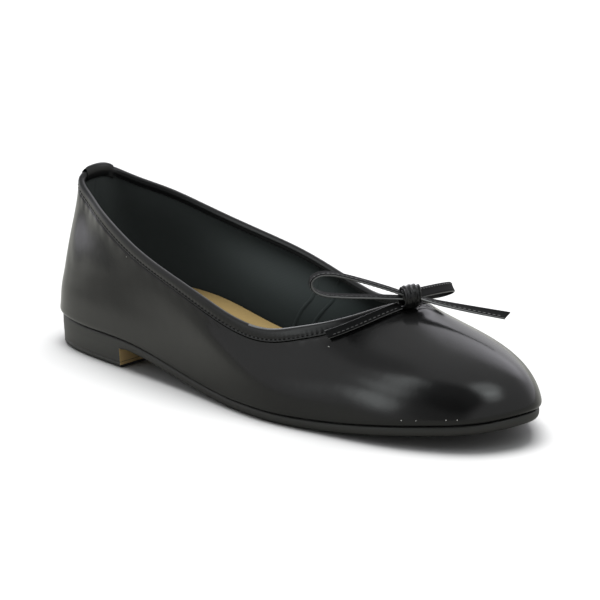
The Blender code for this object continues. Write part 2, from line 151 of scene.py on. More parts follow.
def hump(middle, reach, value):
    """1 at the middle, falling smoothly to 0 at this reach on both sides."""
    share = np.clip(1 - np.abs(value - middle) / reach, 0, 1)
    return share * share * (3 - 2 * share)


def both_sides(row_to_point):
    """The table's points, down the outer side and back up the inner side."""
    outer = [row_to_point(rib, -1) for rib in RIBS[:-1]]
    inner = [row_to_point(rib, 1) for rib in reversed(RIBS[1:])]
    return np.array(outer + inner)


def foot_point(rib, side):
    """A point of the feather line, with the wall's swell there as a fourth number."""
    half = rib.outer if side < 0 else rib.inner
    rise = rib.heel * HEEL_HEIGHT + rib.spring * TOE_SPRING + SOLE_THICKNESS
    return (rib.at * LENGTH - LENGTH / 2, side * half * BALL_WIDTH + HEEL_AXIS_Y, rise, rib.swell)


def top_point(rib, side):
    """A point of the topline."""
    half = rib.top_outer if side < 0 else rib.top_inner
    rise = foot_point(rib, side)[2] + rib.quarter * COUNTER_HEIGHT + rib.vamp * INSTEP_HEIGHT
    return (rib.top_at * LENGTH - LENGTH / 2, side * half * BALL_WIDTH + HEEL_AXIS_Y, rise)


def closed_curve(points):
    """A closed cubic through the points, one unit of place between neighbours."""
    count = len(points)
    before, after = np.roll(points, 1, axis=0), np.roll(points, -1, axis=0)
    eye = np.eye(count)
    matrix = 4 * eye + np.roll(eye, 1, axis=0) + np.roll(eye, -1, axis=0)
    bend = np.linalg.solve(matrix, before - 2 * points + after)

    def at(place):
        place = np.mod(np.asarray(place, float), count)
        start = np.floor(place).astype(int) % count
        end = (start + 1) % count
        v = (place - np.floor(place))[:, None]
        u = 1 - v
        return u * points[start] + v * points[end] + (u**3 - u) * bend[start] + (v**3 - v) * bend[end]

    return at


feather_curve = closed_curve(both_sides(foot_point))
top_curve = closed_curve(both_sides(top_point))


def feather(place):
    """Points of the feather line, never lower than a sole that lies flat on the floor."""
    points = feather_curve(place)[:, :3]
    points[:, 2] = np.maximum(points[:, 2], SOLE_THICKNESS)
    return points


def underside(x):
    """How high the last's underside is at this x."""
    line = feather(np.linspace(0, LAST_RIB, 481))
    return np.interp(x, line[:, 0], line[:, 2])


def outward(place):
    """The level direction out of the feather line."""
    ahead = feather(place + 0.02) - feather(place - 0.02)
    return unit(np.stack([ahead[:, 1], -ahead[:, 0], 0 * ahead[:, 0]], axis=-1))


# %% [markdown]
# ## The leather wall
# Between the two loops each rib is one curved line: nearly upright round the heel, and swept far back over
# the toes. The class below holds those lines for a row of places. Every other piece of the shoe asks it for
# points so far down from the topline and so far off the surface, which is how a binding or a stitch stays
# on a curved wall without any fitting.

# %% The wall
RIB_STEPS = 90


def rib_curves(place):
    """The finished outer surface: for each place a curve from the topline down to the feather line."""
    foot, top, out = feather(place), top_curve(place), outward(place)
    swell = feather_curve(place)[:, 3:]
    height = (top - foot)[:, 2:]
    run = (top - foot) * (1 - UP)
    reach = np.linalg.norm(top - foot, axis=1, keepdims=True)
    share = (foot[:, :1] / LENGTH + 0.5 - VAMP_FROM) / (1 - VAMP_FROM)
    toe = np.clip(share, 0, 1) ** 1.5
    low = foot + (UP + swell * out) * RIB_FULLNESS * height
    side_pull = COLLAR_REACH * height * (UP - COLLAR_LEAN * out)
    ridge_pull = RIDGE_REACH * (run + RIDGE_SLOPE * reach * UP)
    high = top - (1 - toe) * side_pull - toe * ridge_pull
    s = np.linspace(1, 0, RIB_STEPS + 1)[:, None, None]
    return (1 - s) ** 3 * foot + 3 * (1 - s) ** 2 * s * low + 3 * (1 - s) * s**2 * high + s**3 * top


def run_length(line):
    """The length of a line of points."""
    return float(np.linalg.norm(np.diff(line, axis=0), axis=1).sum())


class Wall:
    """The finished outer surface at a row of places round the shoe."""

    def __init__(self, place):
        self.place = np.asarray(place, float)
        self.curves = rib_curves(self.place)
        around = rib_curves(self.place + 0.02) - rib_curves(self.place - 0.02)
        down = np.gradient(self.curves, axis=0)
        self.normals = unit(np.cross(down, around))
        steps = np.linalg.norm(np.diff(self.curves, axis=0), axis=2)
        self.depths = np.vstack([0 * steps[:1], np.cumsum(steps, axis=0)])
        self.foot = feather(self.place)
        self.out = outward(self.place)

    def rows(self, depths, outs):
        """Points for each row and place, this deep from the topline and this far outside the surface."""
        depths = np.stack([np.broadcast_to(d, self.place.shape) for d in depths])
        outs = np.stack([np.broadcast_to(o, self.place.shape) for o in outs])
        points = np.empty((*depths.shape, 3))
        for i in range(len(self.place)):
            run, wanted = self.depths[:, i], depths[:, i]
            spot = np.stack([np.interp(wanted, run, self.curves[:, i, k]) for k in range(3)], axis=1)
            lean = np.stack([np.interp(wanted, run, self.normals[:, i, k]) for k in range(3)], axis=1)
            over = np.minimum(wanted, 0)[:, None] * unit(self.curves[1, i] - self.curves[0, i])
            points[:, i] = spot + over + outs[:, i, None] * unit(lean)
        return points

    def lean(self, height):
        """How far the surface has drawn in from the feather line at this height over it."""
        inward = np.einsum("sik,ik->si", self.foot - self.curves, self.out)
        rise = self.curves[:, :, 2] - self.foot[:, 2]
        return np.array([np.interp(height, r[::-1], d[::-1]) for r, d in zip(rise.T, inward.T)])

    def low(self, inward, height):
        """Points this far inside the feather line and this far above the last's underside there."""
        points = self.foot - np.broadcast_to(inward, self.place.shape)[:, None] * self.out
        points[:, 2] = underside(points[:, 0]) + height
        return points


AROUND = 480
shell = Wall(np.arange(AROUND) * ROUND / AROUND)
print("topline is", round(run_length(top_curve(np.linspace(0, ROUND, AROUND + 1))), 4))
print("ribs are", round(shell.depths[-1].min() * 1000), "to", round(shell.depths[-1].max() * 1000), "mm long")

# %% [markdown]
# ## Making pieces
# All pieces are grids of points, so one function turns rows of points into a mesh of quads. A grid can
# close on itself round the shoe, round its own section, or both. Blender then works out which side of it is
# outside.


# %% Mesh helpers
SHARP_CORNER = np.radians(48)


def make_piece(name, points, faces, surfaces, stands_for=(), slot=None, picks=None):
    """One named piece from points and faces, riding on the shoe."""
    mesh = bpy.data.meshes.new(name)
    mesh.from_pydata(np.asarray(points).reshape(-1, 3).tolist(), [], faces)
    for surface in surfaces:
        mesh.materials.append(surface)
    if picks is not None:
        mesh.polygons.foreach_set("material_index", np.asarray(picks, np.int32))
    work = bmesh.new()
    work.from_mesh(mesh)
    bmesh.ops.recalc_face_normals(work, faces=work.faces)
    for edge in work.edges:
        edge.smooth = len(edge.link_faces) != 2 or edge.calc_face_angle(0.0) < SHARP_CORNER
    work.to_mesh(mesh)
    work.free()
    for polygon in mesh.polygons:
        polygon.use_smooth = True
    piece = bpy.data.objects.new(name, mesh)
    bpy.context.scene.collection.objects.link(piece)
    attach(piece, "root")
    if stands_for:
        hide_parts(*stands_for)
    print(name, len(faces), "faces")
    return piece


def grid_faces(rows, count, rows_close, count_closes, start=0):
    """Quads between the points of a grid."""
    faces = []
    for r in range(rows if rows_close else rows - 1):
        here = start + r * count
        there = start + (r + 1) % rows * count
        for k in range(count if count_closes else count - 1):
            m = (k + 1) % count
            faces.append((here + k, here + m, there + m, there + k))
    return faces


def end_faces(count, first):
    """Quads that close a section made of one line and a second line back, starting at this point."""
    last = first + count - 1
    return [(first + k, last - k, last - k - 1, first + k + 1) for k in range(count // 2 - 1)]


def face_centres(points, faces):
    """The middle of each face."""
    return np.array([points[list(face)].mean(axis=0) for face in faces])


def capped_tube(rings, around, first=0):
    """Faces of rings stacked from the point numbered first, with both ends closed."""
    ends = [tuple(range(start, start + around)) for start in (first, first + (rings - 1) * around)]
    return grid_faces(rings, around, False, True, first) + ends


def ring_piece(name, rows, surfaces, **kept):
    """A closed ring: rows are lines round the shoe, and the last row joins the first."""
    return make_piece(name, rows, grid_faces(len(rows), rows.shape[1], True, True), surfaces, **kept)


def strip_piece(name, sections, surfaces, **kept):
    """A strip of closed sections with both ends closed."""
    runs, count = sections.shape[:2]
    faces = grid_faces(runs, count, False, True)
    faces += end_faces(count, 0)
    faces += end_faces(count, (runs - 1) * count)
    return make_piece(name, sections, faces, surfaces, **kept)


# %% [markdown]
# ## Leather and other finishes
# Black leather is a dark base under a thin gloss. What the eye reads is not its colour but how its
# reflections break up: fine pores, shallow waves where the hide is stretched, and a little uneven polish.
# Each of these is a node group with named inputs, built once and given its own values in every material
# that uses it.


# %% Node helpers
def new_group(name, inputs, outputs):
    """A node group with float, colour and vector sockets, and its two end nodes."""
    tree = bpy.data.node_groups.new(name, "ShaderNodeTree")
    for label, kind, value in inputs:
        socket = tree.interface.new_socket(label, in_out="INPUT", socket_type="NodeSocket" + kind)
        if value is not None:
            socket.default_value = value
    for label, kind in outputs:
        tree.interface.new_socket(label, in_out="OUTPUT", socket_type="NodeSocket" + kind)
    return tree, tree.nodes.new("NodeGroupInput"), tree.nodes.new("NodeGroupOutput")


def add(tree, kind, settings=None, **values):
    """A node with its settings, and its inputs set or linked by name."""
    node = tree.nodes.new("ShaderNode" + kind)
    for key, value in (settings or {}).items():
        setattr(node, key, value)
    for key, value in values.items():
        put(tree, node, key.replace("_", " "), value)
    return node


def put(tree, node, label, value):
    """Sets or links one input, found by its name or its number."""
    socket = node.inputs[int(label)] if label.isdigit() else node.inputs[label]
    if isinstance(value, bpy.types.NodeSocket):
        tree.links.new(value, socket)
    else:
        socket.default_value = value


def maths(tree, operation, first, second=0.0):
    """The result of one Math node."""
    node = tree.nodes.new("ShaderNodeMath")
    node.operation = operation
    put(tree, node, "0", first)
    put(tree, node, "1", second)
    return node.outputs[0]


def remap(tree, value, low, high, to_low, to_high):
    """The value moved from one range to another, and held inside it."""
    node = tree.nodes.new("ShaderNodeMapRange")
    labels = ("Value", "From Min", "From Max", "To Min", "To Max")
    for label, number in zip(labels, (value, low, high, to_low, to_high)):
        put(tree, node, label, number)
    return node.outputs[0]


def mix_colours(tree, share, first, second):
    """A colour between two, each given as three numbers or as a socket."""
    node = add(tree, "Mix", {"data_type": "RGBA"}, Factor=share)
    for label, colour in (("6", first), ("7", second)):
        put(tree, node, label, (*colour, 1) if isinstance(colour, tuple) else colour)
    return node.outputs[2]


def three(tree, values):
    """Three values as one colour or vector."""
    node = tree.nodes.new("ShaderNodeCombineXYZ")
    for label, value in zip("012", values):
        put(tree, node, label, value)
    return node.outputs[0]


def use_group(tree, group, **values):
    """A node group placed in a material, its inputs set or linked by name."""
    node = tree.nodes.new("ShaderNodeGroup")
    node.node_tree = group
    for key, value in values.items():
        put(tree, node, key.replace("_", " "), value)
    return node


# %% Grain of smooth leather
tree, start, end = new_group(
    "leather_grain",
    [
        ("Vector", "Vector", None),
        ("Pore size", "Float", 0.0007),
        ("Wave size", "Float", 0.006),
        ("Wave share", "Float", 0.5),
    ],
    [("Height", "Float")],
)
pore_scale = maths(tree, "DIVIDE", 1.0, start.outputs["Pore size"])
wave_scale = maths(tree, "DIVIDE", 1.0, start.outputs["Wave size"])
pores = add(tree, "TexVoronoi", {"feature": "SMOOTH_F1"}, Vector=start.outputs["Vector"], Scale=pore_scale)
pore_height = remap(tree, pores.outputs["Distance"], 0.1, 0.6, 1.0, 0.0)
fine = add(tree, "TexNoise", Vector=start.outputs["Vector"], Scale=pore_scale, Detail=2.0)
waves = add(tree, "TexNoise", Vector=start.outputs["Vector"], Scale=wave_scale, Detail=3.0, Roughness=0.45)
small = maths(tree, "MULTIPLY", maths(tree, "ADD", pore_height, fine.outputs["Fac"]), 0.06)
large = maths(tree, "MULTIPLY", waves.outputs["Fac"], start.outputs["Wave share"])
tree.links.new(maths(tree, "ADD", small, large), end.inputs["Height"])
leather_grain = tree

# %% Uneven polish
tree, start, end = new_group(
    "uneven_polish",
    [
        ("Vector", "Vector", None),
        ("Patch size", "Float", 0.02),
        ("Gloss", "Float", 0.3),
        ("Spread", "Float", 0.08),
    ],
    [("Roughness", "Float"), ("Patches", "Float")],
)
patch_scale = maths(tree, "DIVIDE", 1.0, start.outputs["Patch size"])
patches = add(tree, "TexNoise", Vector=start.outputs["Vector"], Scale=patch_scale, Detail=4.0, Roughness=0.6)
centred = maths(tree, "SUBTRACT", patches.outputs["Fac"], 0.5)
shifted = maths(tree, "MULTIPLY", centred, start.outputs["Spread"])
tree.links.new(maths(tree, "ADD", start.outputs["Gloss"], shifted), end.inputs["Roughness"])
tree.links.new(patches.outputs["Fac"], end.inputs["Patches"])
uneven_polish = tree

# %% Woven lining
tree, start, end = new_group(
    "fine_weave", [("Vector", "Vector", None), ("Thread", "Float", 0.0005)], [("Height", "Float")]
)
cloth = start.outputs["Vector"]
thread_scale = maths(tree, "DIVIDE", 0.314, start.outputs["Thread"])
waves = [
    add(tree, "TexWave", {"bands_direction": way}, Vector=cloth, Scale=thread_scale, Distortion=1.0)
    for way in "XZ"
]
warp, weft = (wave.outputs["Fac"] for wave in waves)
tree.links.new(maths(tree, "MULTIPLY", warp, weft), end.inputs["Height"])
fine_weave = tree
print("groups:", [g.name for g in bpy.data.node_groups])


# %% [markdown]
# ## One recipe for most finishes
# Leather, rubber and the sock differ in colour, gloss and grain, but are put together the same way: a group
# for the height, a group for the polish, a bump, and one Principled shader. So each finish is one row of a
# table with named columns, and one short function turns a row into a material.


# %% The recipe
def new_finish(name):
    """A new material, its node tree, its shader, and where each point lies on its piece."""
    made = bpy.data.materials.new(name)
    made.use_nodes = True
    tree = made.node_tree
    return made, tree, tree.nodes["Principled BSDF"], tree.nodes.new("ShaderNodeTexCoord").outputs["Object"]


def join_up(tree, shader, colour, roughness, height, depth, shine):
    """Joins a colour, a roughness and a height of so many metres to the shader."""
    bump = add(tree, "Bump", Strength=1.0, Distance=depth, Height=height)
    put(tree, shader, "Base Color", colour)
    put(tree, shader, "Roughness", roughness)
    put(tree, shader, "Normal", bump.outputs["Normal"])
    put(tree, shader, "Specular IOR Level", shine)


def grained_finish(name, row):
    """A leather-like finish from one row of the table."""
    made, tree, shader, place = new_finish(name)
    grain = use_group(
        tree, leather_grain, Vector=place, Pore_size=row.pore, Wave_size=row.wave, Wave_share=row.wave_share
    )
    polish = use_group(tree, uneven_polish, Vector=place, Gloss=row.gloss, Spread=row.spread)
    colour = mix_colours(tree, polish.outputs["Patches"], row.dark, row.light)
    join_up(tree, shader, colour, polish.outputs["Roughness"], grain.outputs["Height"], row.depth, row.shine)
    return made


# dark and light are the two tones, and depth is the height of the grain in metres.
Finish = namedtuple("Finish", "dark light gloss spread pore wave wave_share depth shine")
FINISHES = {
    "black_leather": Finish(
        (0.0046, 0.0047, 0.0047), (0.0066, 0.0067, 0.0069), 0.16, 0.08, 0.0005, 0.008, 0.7, 0.00010, 0.5
    ),
    "binding_leather": Finish(
        (0.0036, 0.0037, 0.0039), (0.0056, 0.0058, 0.0060), 0.30, 0.08, 0.0005, 0.004, 0.5, 0.00008, 0.5
    ),
    "lace_leather": Finish(
        (0.0026, 0.0028, 0.0029), (0.0046, 0.0048, 0.0050), 0.60, 0.10, 0.0004, 0.003, 0.6, 0.00010, 0.12
    ),
    # The rims' pale tone is a painted highlight along the lace's rolled glossy edges.
    "lace_rim_painted_highlight": Finish(
        (0.095, 0.098, 0.098), (0.160, 0.163, 0.162), 0.30, 0.08, 0.0004, 0.003, 0.5, 0.00006, 0.5
    ),
    "knot_leather": Finish(
        (0.0040, 0.0042, 0.0044), (0.0070, 0.0072, 0.0076), 0.24, 0.10, 0.0004, 0.002, 0.8, 0.00010, 0.5
    ),
    "black_thread": Finish(
        (0.0020, 0.0020, 0.0022), (0.0045, 0.0045, 0.0048), 0.60, 0.10, 0.0003, 0.002, 0.3, 0.00005, 0.2
    ),
    # The lace's stitches are real; their pale grey is a painted highlight.
    "lace_thread": Finish(
        (0.035, 0.036, 0.036), (0.120, 0.122, 0.120), 0.45, 0.10, 0.0003, 0.002, 0.3, 0.00005, 0.5
    ),
    "sole_rubber": Finish(
        (0.033, 0.0334, 0.0318), (0.045, 0.0453, 0.0435), 0.50, 0.12, 0.0006, 0.006, 0.6, 0.00010, 0.4
    ),
    "tread_rubber": Finish(
        (0.016, 0.016, 0.016), (0.026, 0.026, 0.025), 0.70, 0.10, 0.0012, 0.004, 0.3, 0.00030, 0.4
    ),
    "tan_sock": Finish(
        (0.160, 0.113, 0.046), (0.196, 0.141, 0.060), 0.55, 0.12, 0.0008, 0.010, 0.5, 0.00010, 0.3
    ),
    "tan_breast": Finish(
        (0.58, 0.400, 0.180), (0.72, 0.520, 0.255), 0.50, 0.14, 0.0010, 0.004, 0.7, 0.00015, 0.3
    ),
    # A paler tone for a band on the binding's crest: a painted highlight.
    "fold_painted_highlight": Finish(
        (0.050, 0.051, 0.052), (0.095, 0.097, 0.098), 0.28, 0.08, 0.0004, 0.004, 0.5, 0.00006, 0.5
    ),
    "pale_crumb": Finish(
        (0.42, 0.42, 0.40), (0.60, 0.60, 0.58), 0.60, 0.10, 0.0003, 0.002, 0.3, 0.00003, 0.5
    ),
}
finish = {name: grained_finish(name, row) for name, row in FINISHES.items()}

# %% [markdown]
# ## The lining and the sock
# The lining is a dull, slightly green black cloth. It is paler towards the back. The sock keeps its tan to
# the eye, but the light that it throws on the rim above it is grey, as in the photograph, so its bounced
# rays get a colour of their own.

# %% Lining finish and the sock's bounce
LINING_DARK, LINING_LIGHT = (0.0085, 0.0120, 0.0118), (0.0120, 0.0160, 0.0155)
LINING_AT_BACK = (0.066, 0.074, 0.073)
PALER_FROM, PALER_TO = 0.010, -0.100
WEAVE_DEPTH = 0.00002
SOCK_BOUNCE = (0.085, 0.090, 0.085)


def lining_finish():
    """A woven cloth whose colour pales from the ball to the back."""
    cloth, tree, shader, place = new_finish("lining_cloth")
    weave = use_group(tree, fine_weave, Vector=place)
    polish = use_group(tree, uneven_polish, Vector=place, Gloss=0.58)
    spot = add(tree, "SeparateXYZ", Vector=place)
    towards_back = remap(tree, spot.outputs["X"], PALER_FROM, PALER_TO, 0.0, 1.0)
    colour = mix_colours(tree, polish.outputs["Patches"], LINING_DARK, LINING_LIGHT)
    colour = mix_colours(tree, towards_back, colour, LINING_AT_BACK)
    join_up(tree, shader, colour, polish.outputs["Roughness"], weave.outputs["Height"], WEAVE_DEPTH, 0.15)
    return cloth


finish["lining_cloth"] = lining_finish()
tree = finish["tan_sock"].node_tree
sock_shader = tree.nodes["Principled BSDF"]
sock_colour = sock_shader.inputs["Base Color"].links[0].from_socket
ray = tree.nodes.new("ShaderNodeLightPath").outputs
bounced = maths(tree, "MAXIMUM", ray["Is Diffuse Ray"], ray["Is Glossy Ray"])
put(tree, sock_shader, "Base Color", mix_colours(tree, bounced, sock_colour, SOCK_BOUNCE))
print("finishes:", [m.name for m in bpy.data.materials])

# %% [markdown]
# ## The bow: cords first
# The lace is narrow leather, folded and stitched flat, 4.2 mm wide. It is tied in one small bow: a knot,
# two loops and two tails. A loop lies in one plane, so its table gives how far the centre line is out from
# the knot, and how far over or under it. Each strand is a flat section with two raised rims, swept along
# that line.

# %% Bow tables
LACE_WIDTH = 0.0042
LACE_THICKNESS = 0.0012
LOOP_LENGTH_OUTER = 0.0392
LOOP_LENGTH_INNER = 0.0338
TAIL_LENGTH_INNER = 0.0385
TAIL_SLANT = 0.0022
KNOT_OVER_THROAT = (0.0049, -0.0012, 0.0034)
BAND_OUTSIDE = 0.0042
BINDING_PROUD = 0.0004

Fold = namedtuple("Fold", "along over")
OUTER_LOOP = [
    Fold(0.060, 0.016),
    Fold(0.250, 0.065),
    Fold(0.500, 0.120),
    Fold(0.740, 0.162),
    Fold(0.890, 0.162),
    Fold(0.975, 0.122),
    Fold(1.000, 0.060),
    Fold(0.965, -0.005),
    Fold(0.860, -0.048),
    Fold(0.700, -0.055),
    Fold(0.450, -0.044),
    Fold(0.250, -0.034),
    Fold(0.060, -0.026),
]
INNER_LOOP = [
    Fold(0.070, 0.020),
    Fold(0.300, 0.055),
    Fold(0.580, 0.080),
    Fold(0.800, 0.080),
    Fold(0.940, 0.055),
    Fold(1.000, 0.000),
    Fold(0.940, -0.055),
    Fold(0.800, -0.080),
    Fold(0.540, -0.068),
    Fold(0.280, -0.036),
    Fold(0.070, -0.020),
]
Tail = namedtuple("Tail", "along sag turn")
INNER_TAIL = [
    Tail(0.070, 0.000, 6.0),
    Tail(0.300, -0.010, -6.0),
    Tail(0.550, -0.009, -17.0),
    Tail(0.800, -0.003, -25.0),
    Tail(1.000, 0.004, -29.0),
]
Lie = namedtuple("Lie", "place depth")
OUTER_TAIL = [
    Lie(11.30, 0.80),
    Lie(10.60, 0.90),
    Lie(9.95, 1.02),
    Lie(9.50, 1.10),
    Lie(9.10, 1.19),
    Lie(8.70, 1.31),
]
knot_centre = top_curve(np.array([float(LAST_RIB)]))[0] + np.array(KNOT_OVER_THROAT)
print("knot at", np.round(knot_centre * 1000, 1), "mm")


# %% Lace
def smooth_line(rows, steps):
    """An open smooth curve through rows of numbers, evenly stepped between them."""
    rows = np.array(rows, float)
    padded = np.vstack([2 * rows[0] - rows[1], rows, 2 * rows[-1] - rows[-2]])
    line = []
    for i in range(1, len(padded) - 2):
        before, first, second, after = padded[i - 1 : i + 3]
        for t in np.linspace(0, 1, steps, endpoint=False):
            bend = (2 * before - 5 * first + 4 * second - after) * t**2
            twist = (3 * first - before - 3 * second + after) * t**3
            line.append(0.5 * (2 * first + (second - before) * t + bend + twist))
    return np.array(line + [rows[-1]])


def lace_outline(width, thickness, half_points=13):
    """The lace's flat section as width and height pairs: raised rims, a shallow valley, top then bottom."""
    w = np.sin(np.linspace(-np.pi / 2, np.pi / 2, half_points))
    body = (1 - np.abs(w) ** 5) ** 0.5
    valley = 0.22 * (1 - ease(0.35, 0.75, np.abs(w)))
    t = np.maximum(body - valley, 0.06)
    top = np.stack([w * width / 2, t * thickness / 2], axis=1)
    return np.vstack([top, top[::-1] * (1, -1)])


RIM_FACES = {0, 1, 11, 12, 13, 14, 24, 25}
LACE_FINISHES = [finish["lace_leather"], finish["lace_rim_painted_highlight"]]


def lace_sections(line, width_ways, slant=0.0):
    """Sections of the lace along a line. width_ways points across its width at each point."""
    ahead = unit(np.gradient(line, axis=0))
    across = unit(width_ways - np.sum(width_ways * ahead, axis=1, keepdims=True) * ahead)
    over = np.cross(ahead, across)
    sections = []
    for w, t in lace_outline(LACE_WIDTH, LACE_THICKNESS):
        row = line + w * across + t * over
        row[-1] += ahead[-1] * slant * w / LACE_WIDTH
        sections.append(row)
    return np.stack(sections, axis=1)


lace_strands = {}


def lace_piece(name, sections, node):
    """A strand of lace, its rims given a lighter finish that is a painted highlight."""
    lace_strands[name] = sections
    runs, count = sections.shape[:2]
    picks = [1 if k in RIM_FACES else 0 for _ in range(runs - 1) for k in range(count)]
    picks += [0] * (2 * (count // 2 - 1))
    return strip_piece(
        name, sections, LACE_FINISHES, stands_for=[node], slot="lace_leather", picks=picks
    )


# %% The two loops
Loop = namedtuple("Loop", "folds length ahead across")
LOOPS = {
    "outer": Loop(OUTER_LOOP, LOOP_LENGTH_OUTER, (-0.536, -0.829, 0.153), (0.849, -0.514, -0.089)),
    "inner": Loop(INNER_LOOP, LOOP_LENGTH_INNER, (-0.265, 0.947, -0.180), (-0.523, -0.060, 0.852)),
}


def loop_line(loop):
    """A loop's centre line and the direction across its width."""
    ahead = unit(np.array(loop.ahead))
    across = np.array(loop.across)
    across = unit(across - across.dot(ahead) * ahead)
    over = np.cross(ahead, across)
    over *= np.sign(over[2])
    line = loop.length * smooth_line(loop.folds, 10)
    return knot_centre + line[:, :1] * ahead + line[:, 1:] * over, across


for side, loop in LOOPS.items():
    line, across = loop_line(loop)
    sections = lace_sections(line, np.tile(across, (len(line), 1)))
    lace_piece("lace_loop_" + side, sections, "bow_loop_" + side)

# %% The two tails
INNER_TAIL_AHEAD = np.array([0.68, 0.70, -0.24])
TAIL_OVER_BINDING = 0.00045

ahead = unit(INNER_TAIL_AHEAD)
level = unit(np.array([ahead[1], -ahead[0], 0.0]))
rise = np.cross(level, ahead)
rows = smooth_line([(row.along, row.sag, np.radians(row.turn)) for row in INNER_TAIL], 10)
line = knot_centre + TAIL_LENGTH_INNER * (rows[:, :1] * ahead + rows[:, 1:2] * rise)
across = np.cos(rows[:, 2:]) * level + np.sin(rows[:, 2:]) * rise
sections = lace_sections(line, across, -TAIL_SLANT)
lace_piece("lace_tail_inner", sections, "bow_tail_inner")

rows = smooth_line([(row.place, row.depth * BAND_OUTSIDE) for row in OUTER_TAIL], 10)
tail_wall = Wall(rows[:, 0])
tail_out = BINDING_PROUD + TAIL_OVER_BINDING + LACE_THICKNESS / 2
outline = lace_outline(LACE_WIDTH, LACE_THICKNESS)
tail_rows = tail_wall.rows([rows[:, 1] + w for w, _ in outline], [tail_out + t for _, t in outline])
line = tail_wall.rows([rows[:, 1]], [tail_out])[0]
sections = np.transpose(tail_rows, (1, 0, 2))
lace_piece("lace_tail_outer", sections, "bow_tail_outer")

# %% [markdown]
# ## The knot
# Where the lace crosses itself it is squeezed into folds. A lumpy core is drawn first, its radius rising
# and falling in a few soft pleats, and then three turns of lace are wound tightly over it, gathered into
# lengthwise folds.

# %% Knot
KNOT_RADII = np.array([0.0034, 0.0032, 0.0034])
KNOT_CREASE = 0.00020


def knot_core():
    """The pleated middle of the knot."""
    turns, rings = 64, 40
    flat = np.ones((rings, turns))
    tilt = np.pi * (np.arange(rings) + 0.5)[:, None] / rings
    turn = 2 * np.pi * np.arange(turns)[None] / turns
    ball = np.stack([np.sin(tilt) * np.cos(turn), np.sin(tilt) * np.sin(turn), np.cos(tilt) * flat], axis=-1)
    pleat = 0.08 * np.sin(7 * turn + 2.5 * np.cos(tilt)) * np.sin(tilt)
    lump = 0.05 * np.sin(3 * turn + 1.0) * np.sin(2 * tilt)
    shape = np.sign(ball) * np.abs(ball) ** 0.85
    points = knot_centre + KNOT_RADII * shape * (1 + pleat + lump)[..., None]
    faces = capped_tube(rings, turns)
    surfaces = [finish["knot_leather"]]
    return make_piece("lace_knot", points, faces, surfaces, stands_for=["bow_knot"], slot="lace_leather")


Wrap = namedtuple("Wrap", "moved lean width reach_level reach_up thick")
WRAPS = {
    "lace_wrap_middle": Wrap((-0.0004, 0.0002, -0.0005), 0.10, 0.0040, 0.0039, 0.0041, 0.0010),
    "lace_wrap_side": Wrap((0.0008, 0.0022, -0.0008), 0.34, 0.0030, 0.0035, 0.0038, 0.0009),
    "lace_wrap_low": Wrap((-0.0006, -0.0016, -0.0008), -0.25, 0.0030, 0.0036, 0.0038, 0.0009),
}


def knot_wrap(name, wrap):
    """A turn of lace over the core, gathered into lengthwise folds."""
    turn = 2 * np.pi * np.arange(96) / 96
    facing = unit(np.array([0.82, -0.40, 0.0]))
    along = unit(np.array([0.40, 0.82, wrap.lean]))
    middle = knot_centre + np.array(wrap.moved)
    line = middle + wrap.reach_level * np.cos(turn)[:, None] * facing
    line = line + wrap.reach_up * np.sin(turn)[:, None] * UP
    line = line + 0.0004 * np.sin(turn + 0.6)[:, None] * along
    ahead = unit(np.roll(line, -1, axis=0) - np.roll(line, 1, axis=0))
    over = unit(np.cross(ahead, along))
    width = wrap.width * (1 - 0.16 * np.cos(2 * turn))
    sections = []
    for w, t in lace_outline(1.0, wrap.thick, 25):
        crease = KNOT_CREASE * np.cos(13 * w + 1.2 * np.sin(2 * turn)) * np.sign(t)
        sections.append(line + (w * width)[:, None] * along + (t + crease)[:, None] * over)
    points = np.stack(sections, axis=1)
    return ring_piece(name, points, [finish["knot_leather"]], slot="lace_leather")


knot_core()
for name, wrap in WRAPS.items():
    knot_wrap(name, wrap)

# %% [markdown]
# ## The upper
# The shell is one hide. It is thinner where the binding grips it, swells a little over the last, and turns
# under at the feather line. New leather has few creases, so the few that show are listed: a small
# gather below the binding on the outer side, a shallow hollow behind the ankle, and a low roll with a small
# crinkle where the bow pulls at the throat. A soft roll just above the sole runs round the back.

# %% Creases, listed one by one
Crease = namedtuple("Crease", "place depth half_long half_wide slant height")
CREASES = [
    Crease(5.85, 0.0062, 0.0030, 0.0008, 0.55, 0.00010),
    Crease(6.02, 0.0070, 0.0030, 0.0008, 0.60, -0.00009),
    Crease(6.22, 0.0064, 0.0028, 0.0008, 0.45, 0.00008),
    Crease(6.60, 0.0066, 0.0036, 0.0010, 0.20, -0.00006),
    Crease(12.50, 0.0082, 0.0130, 0.0026, 0.00, 0.00070),
    Crease(12.86, 0.0058, 0.0022, 0.0007, 0.80, 0.00042),
    Crease(13.05, 0.0064, 0.0022, 0.0006, 0.90, -0.00030),
    Crease(13.22, 0.0062, 0.0020, 0.0006, 0.75, 0.00042),
    Crease(13.40, 0.0064, 0.0020, 0.0006, 0.80, -0.00026),
    Crease(13.56, 0.0062, 0.0018, 0.0006, 0.70, 0.00034),
    Crease(18.10, 0.0068, 0.0040, 0.0010, -0.4, -0.00008),
    Crease(2.40, 0.0240, 0.0160, 0.0070, 1.35, -0.00022),
    Crease(3.30, 0.0200, 0.0140, 0.0060, 1.20, 0.00010),
    Crease(21.60, 0.0240, 0.0160, 0.0070, -1.35, -0.00022),
    Crease(8.10, 0.0160, 0.0130, 0.0050, 0.35, -0.00004),
    Crease(15.90, 0.0160, 0.0130, 0.0050, -0.35, -0.00005),
]
METRES_PER_PLACE = 0.0172


def creases(place, depth):
    """How far the hide stands out at a place and depth, from the table of creases."""
    total = np.zeros(np.broadcast(place, depth).shape)
    for row in CREASES:
        along = (place - row.place) * METRES_PER_PLACE
        down = depth - row.depth
        long = along * np.cos(row.slant) + down * np.sin(row.slant)
        wide = down * np.cos(row.slant) - along * np.sin(row.slant)
        total += row.height * np.exp(-((long / row.half_long) ** 2) - (wide / row.half_wide) ** 2)
    return total


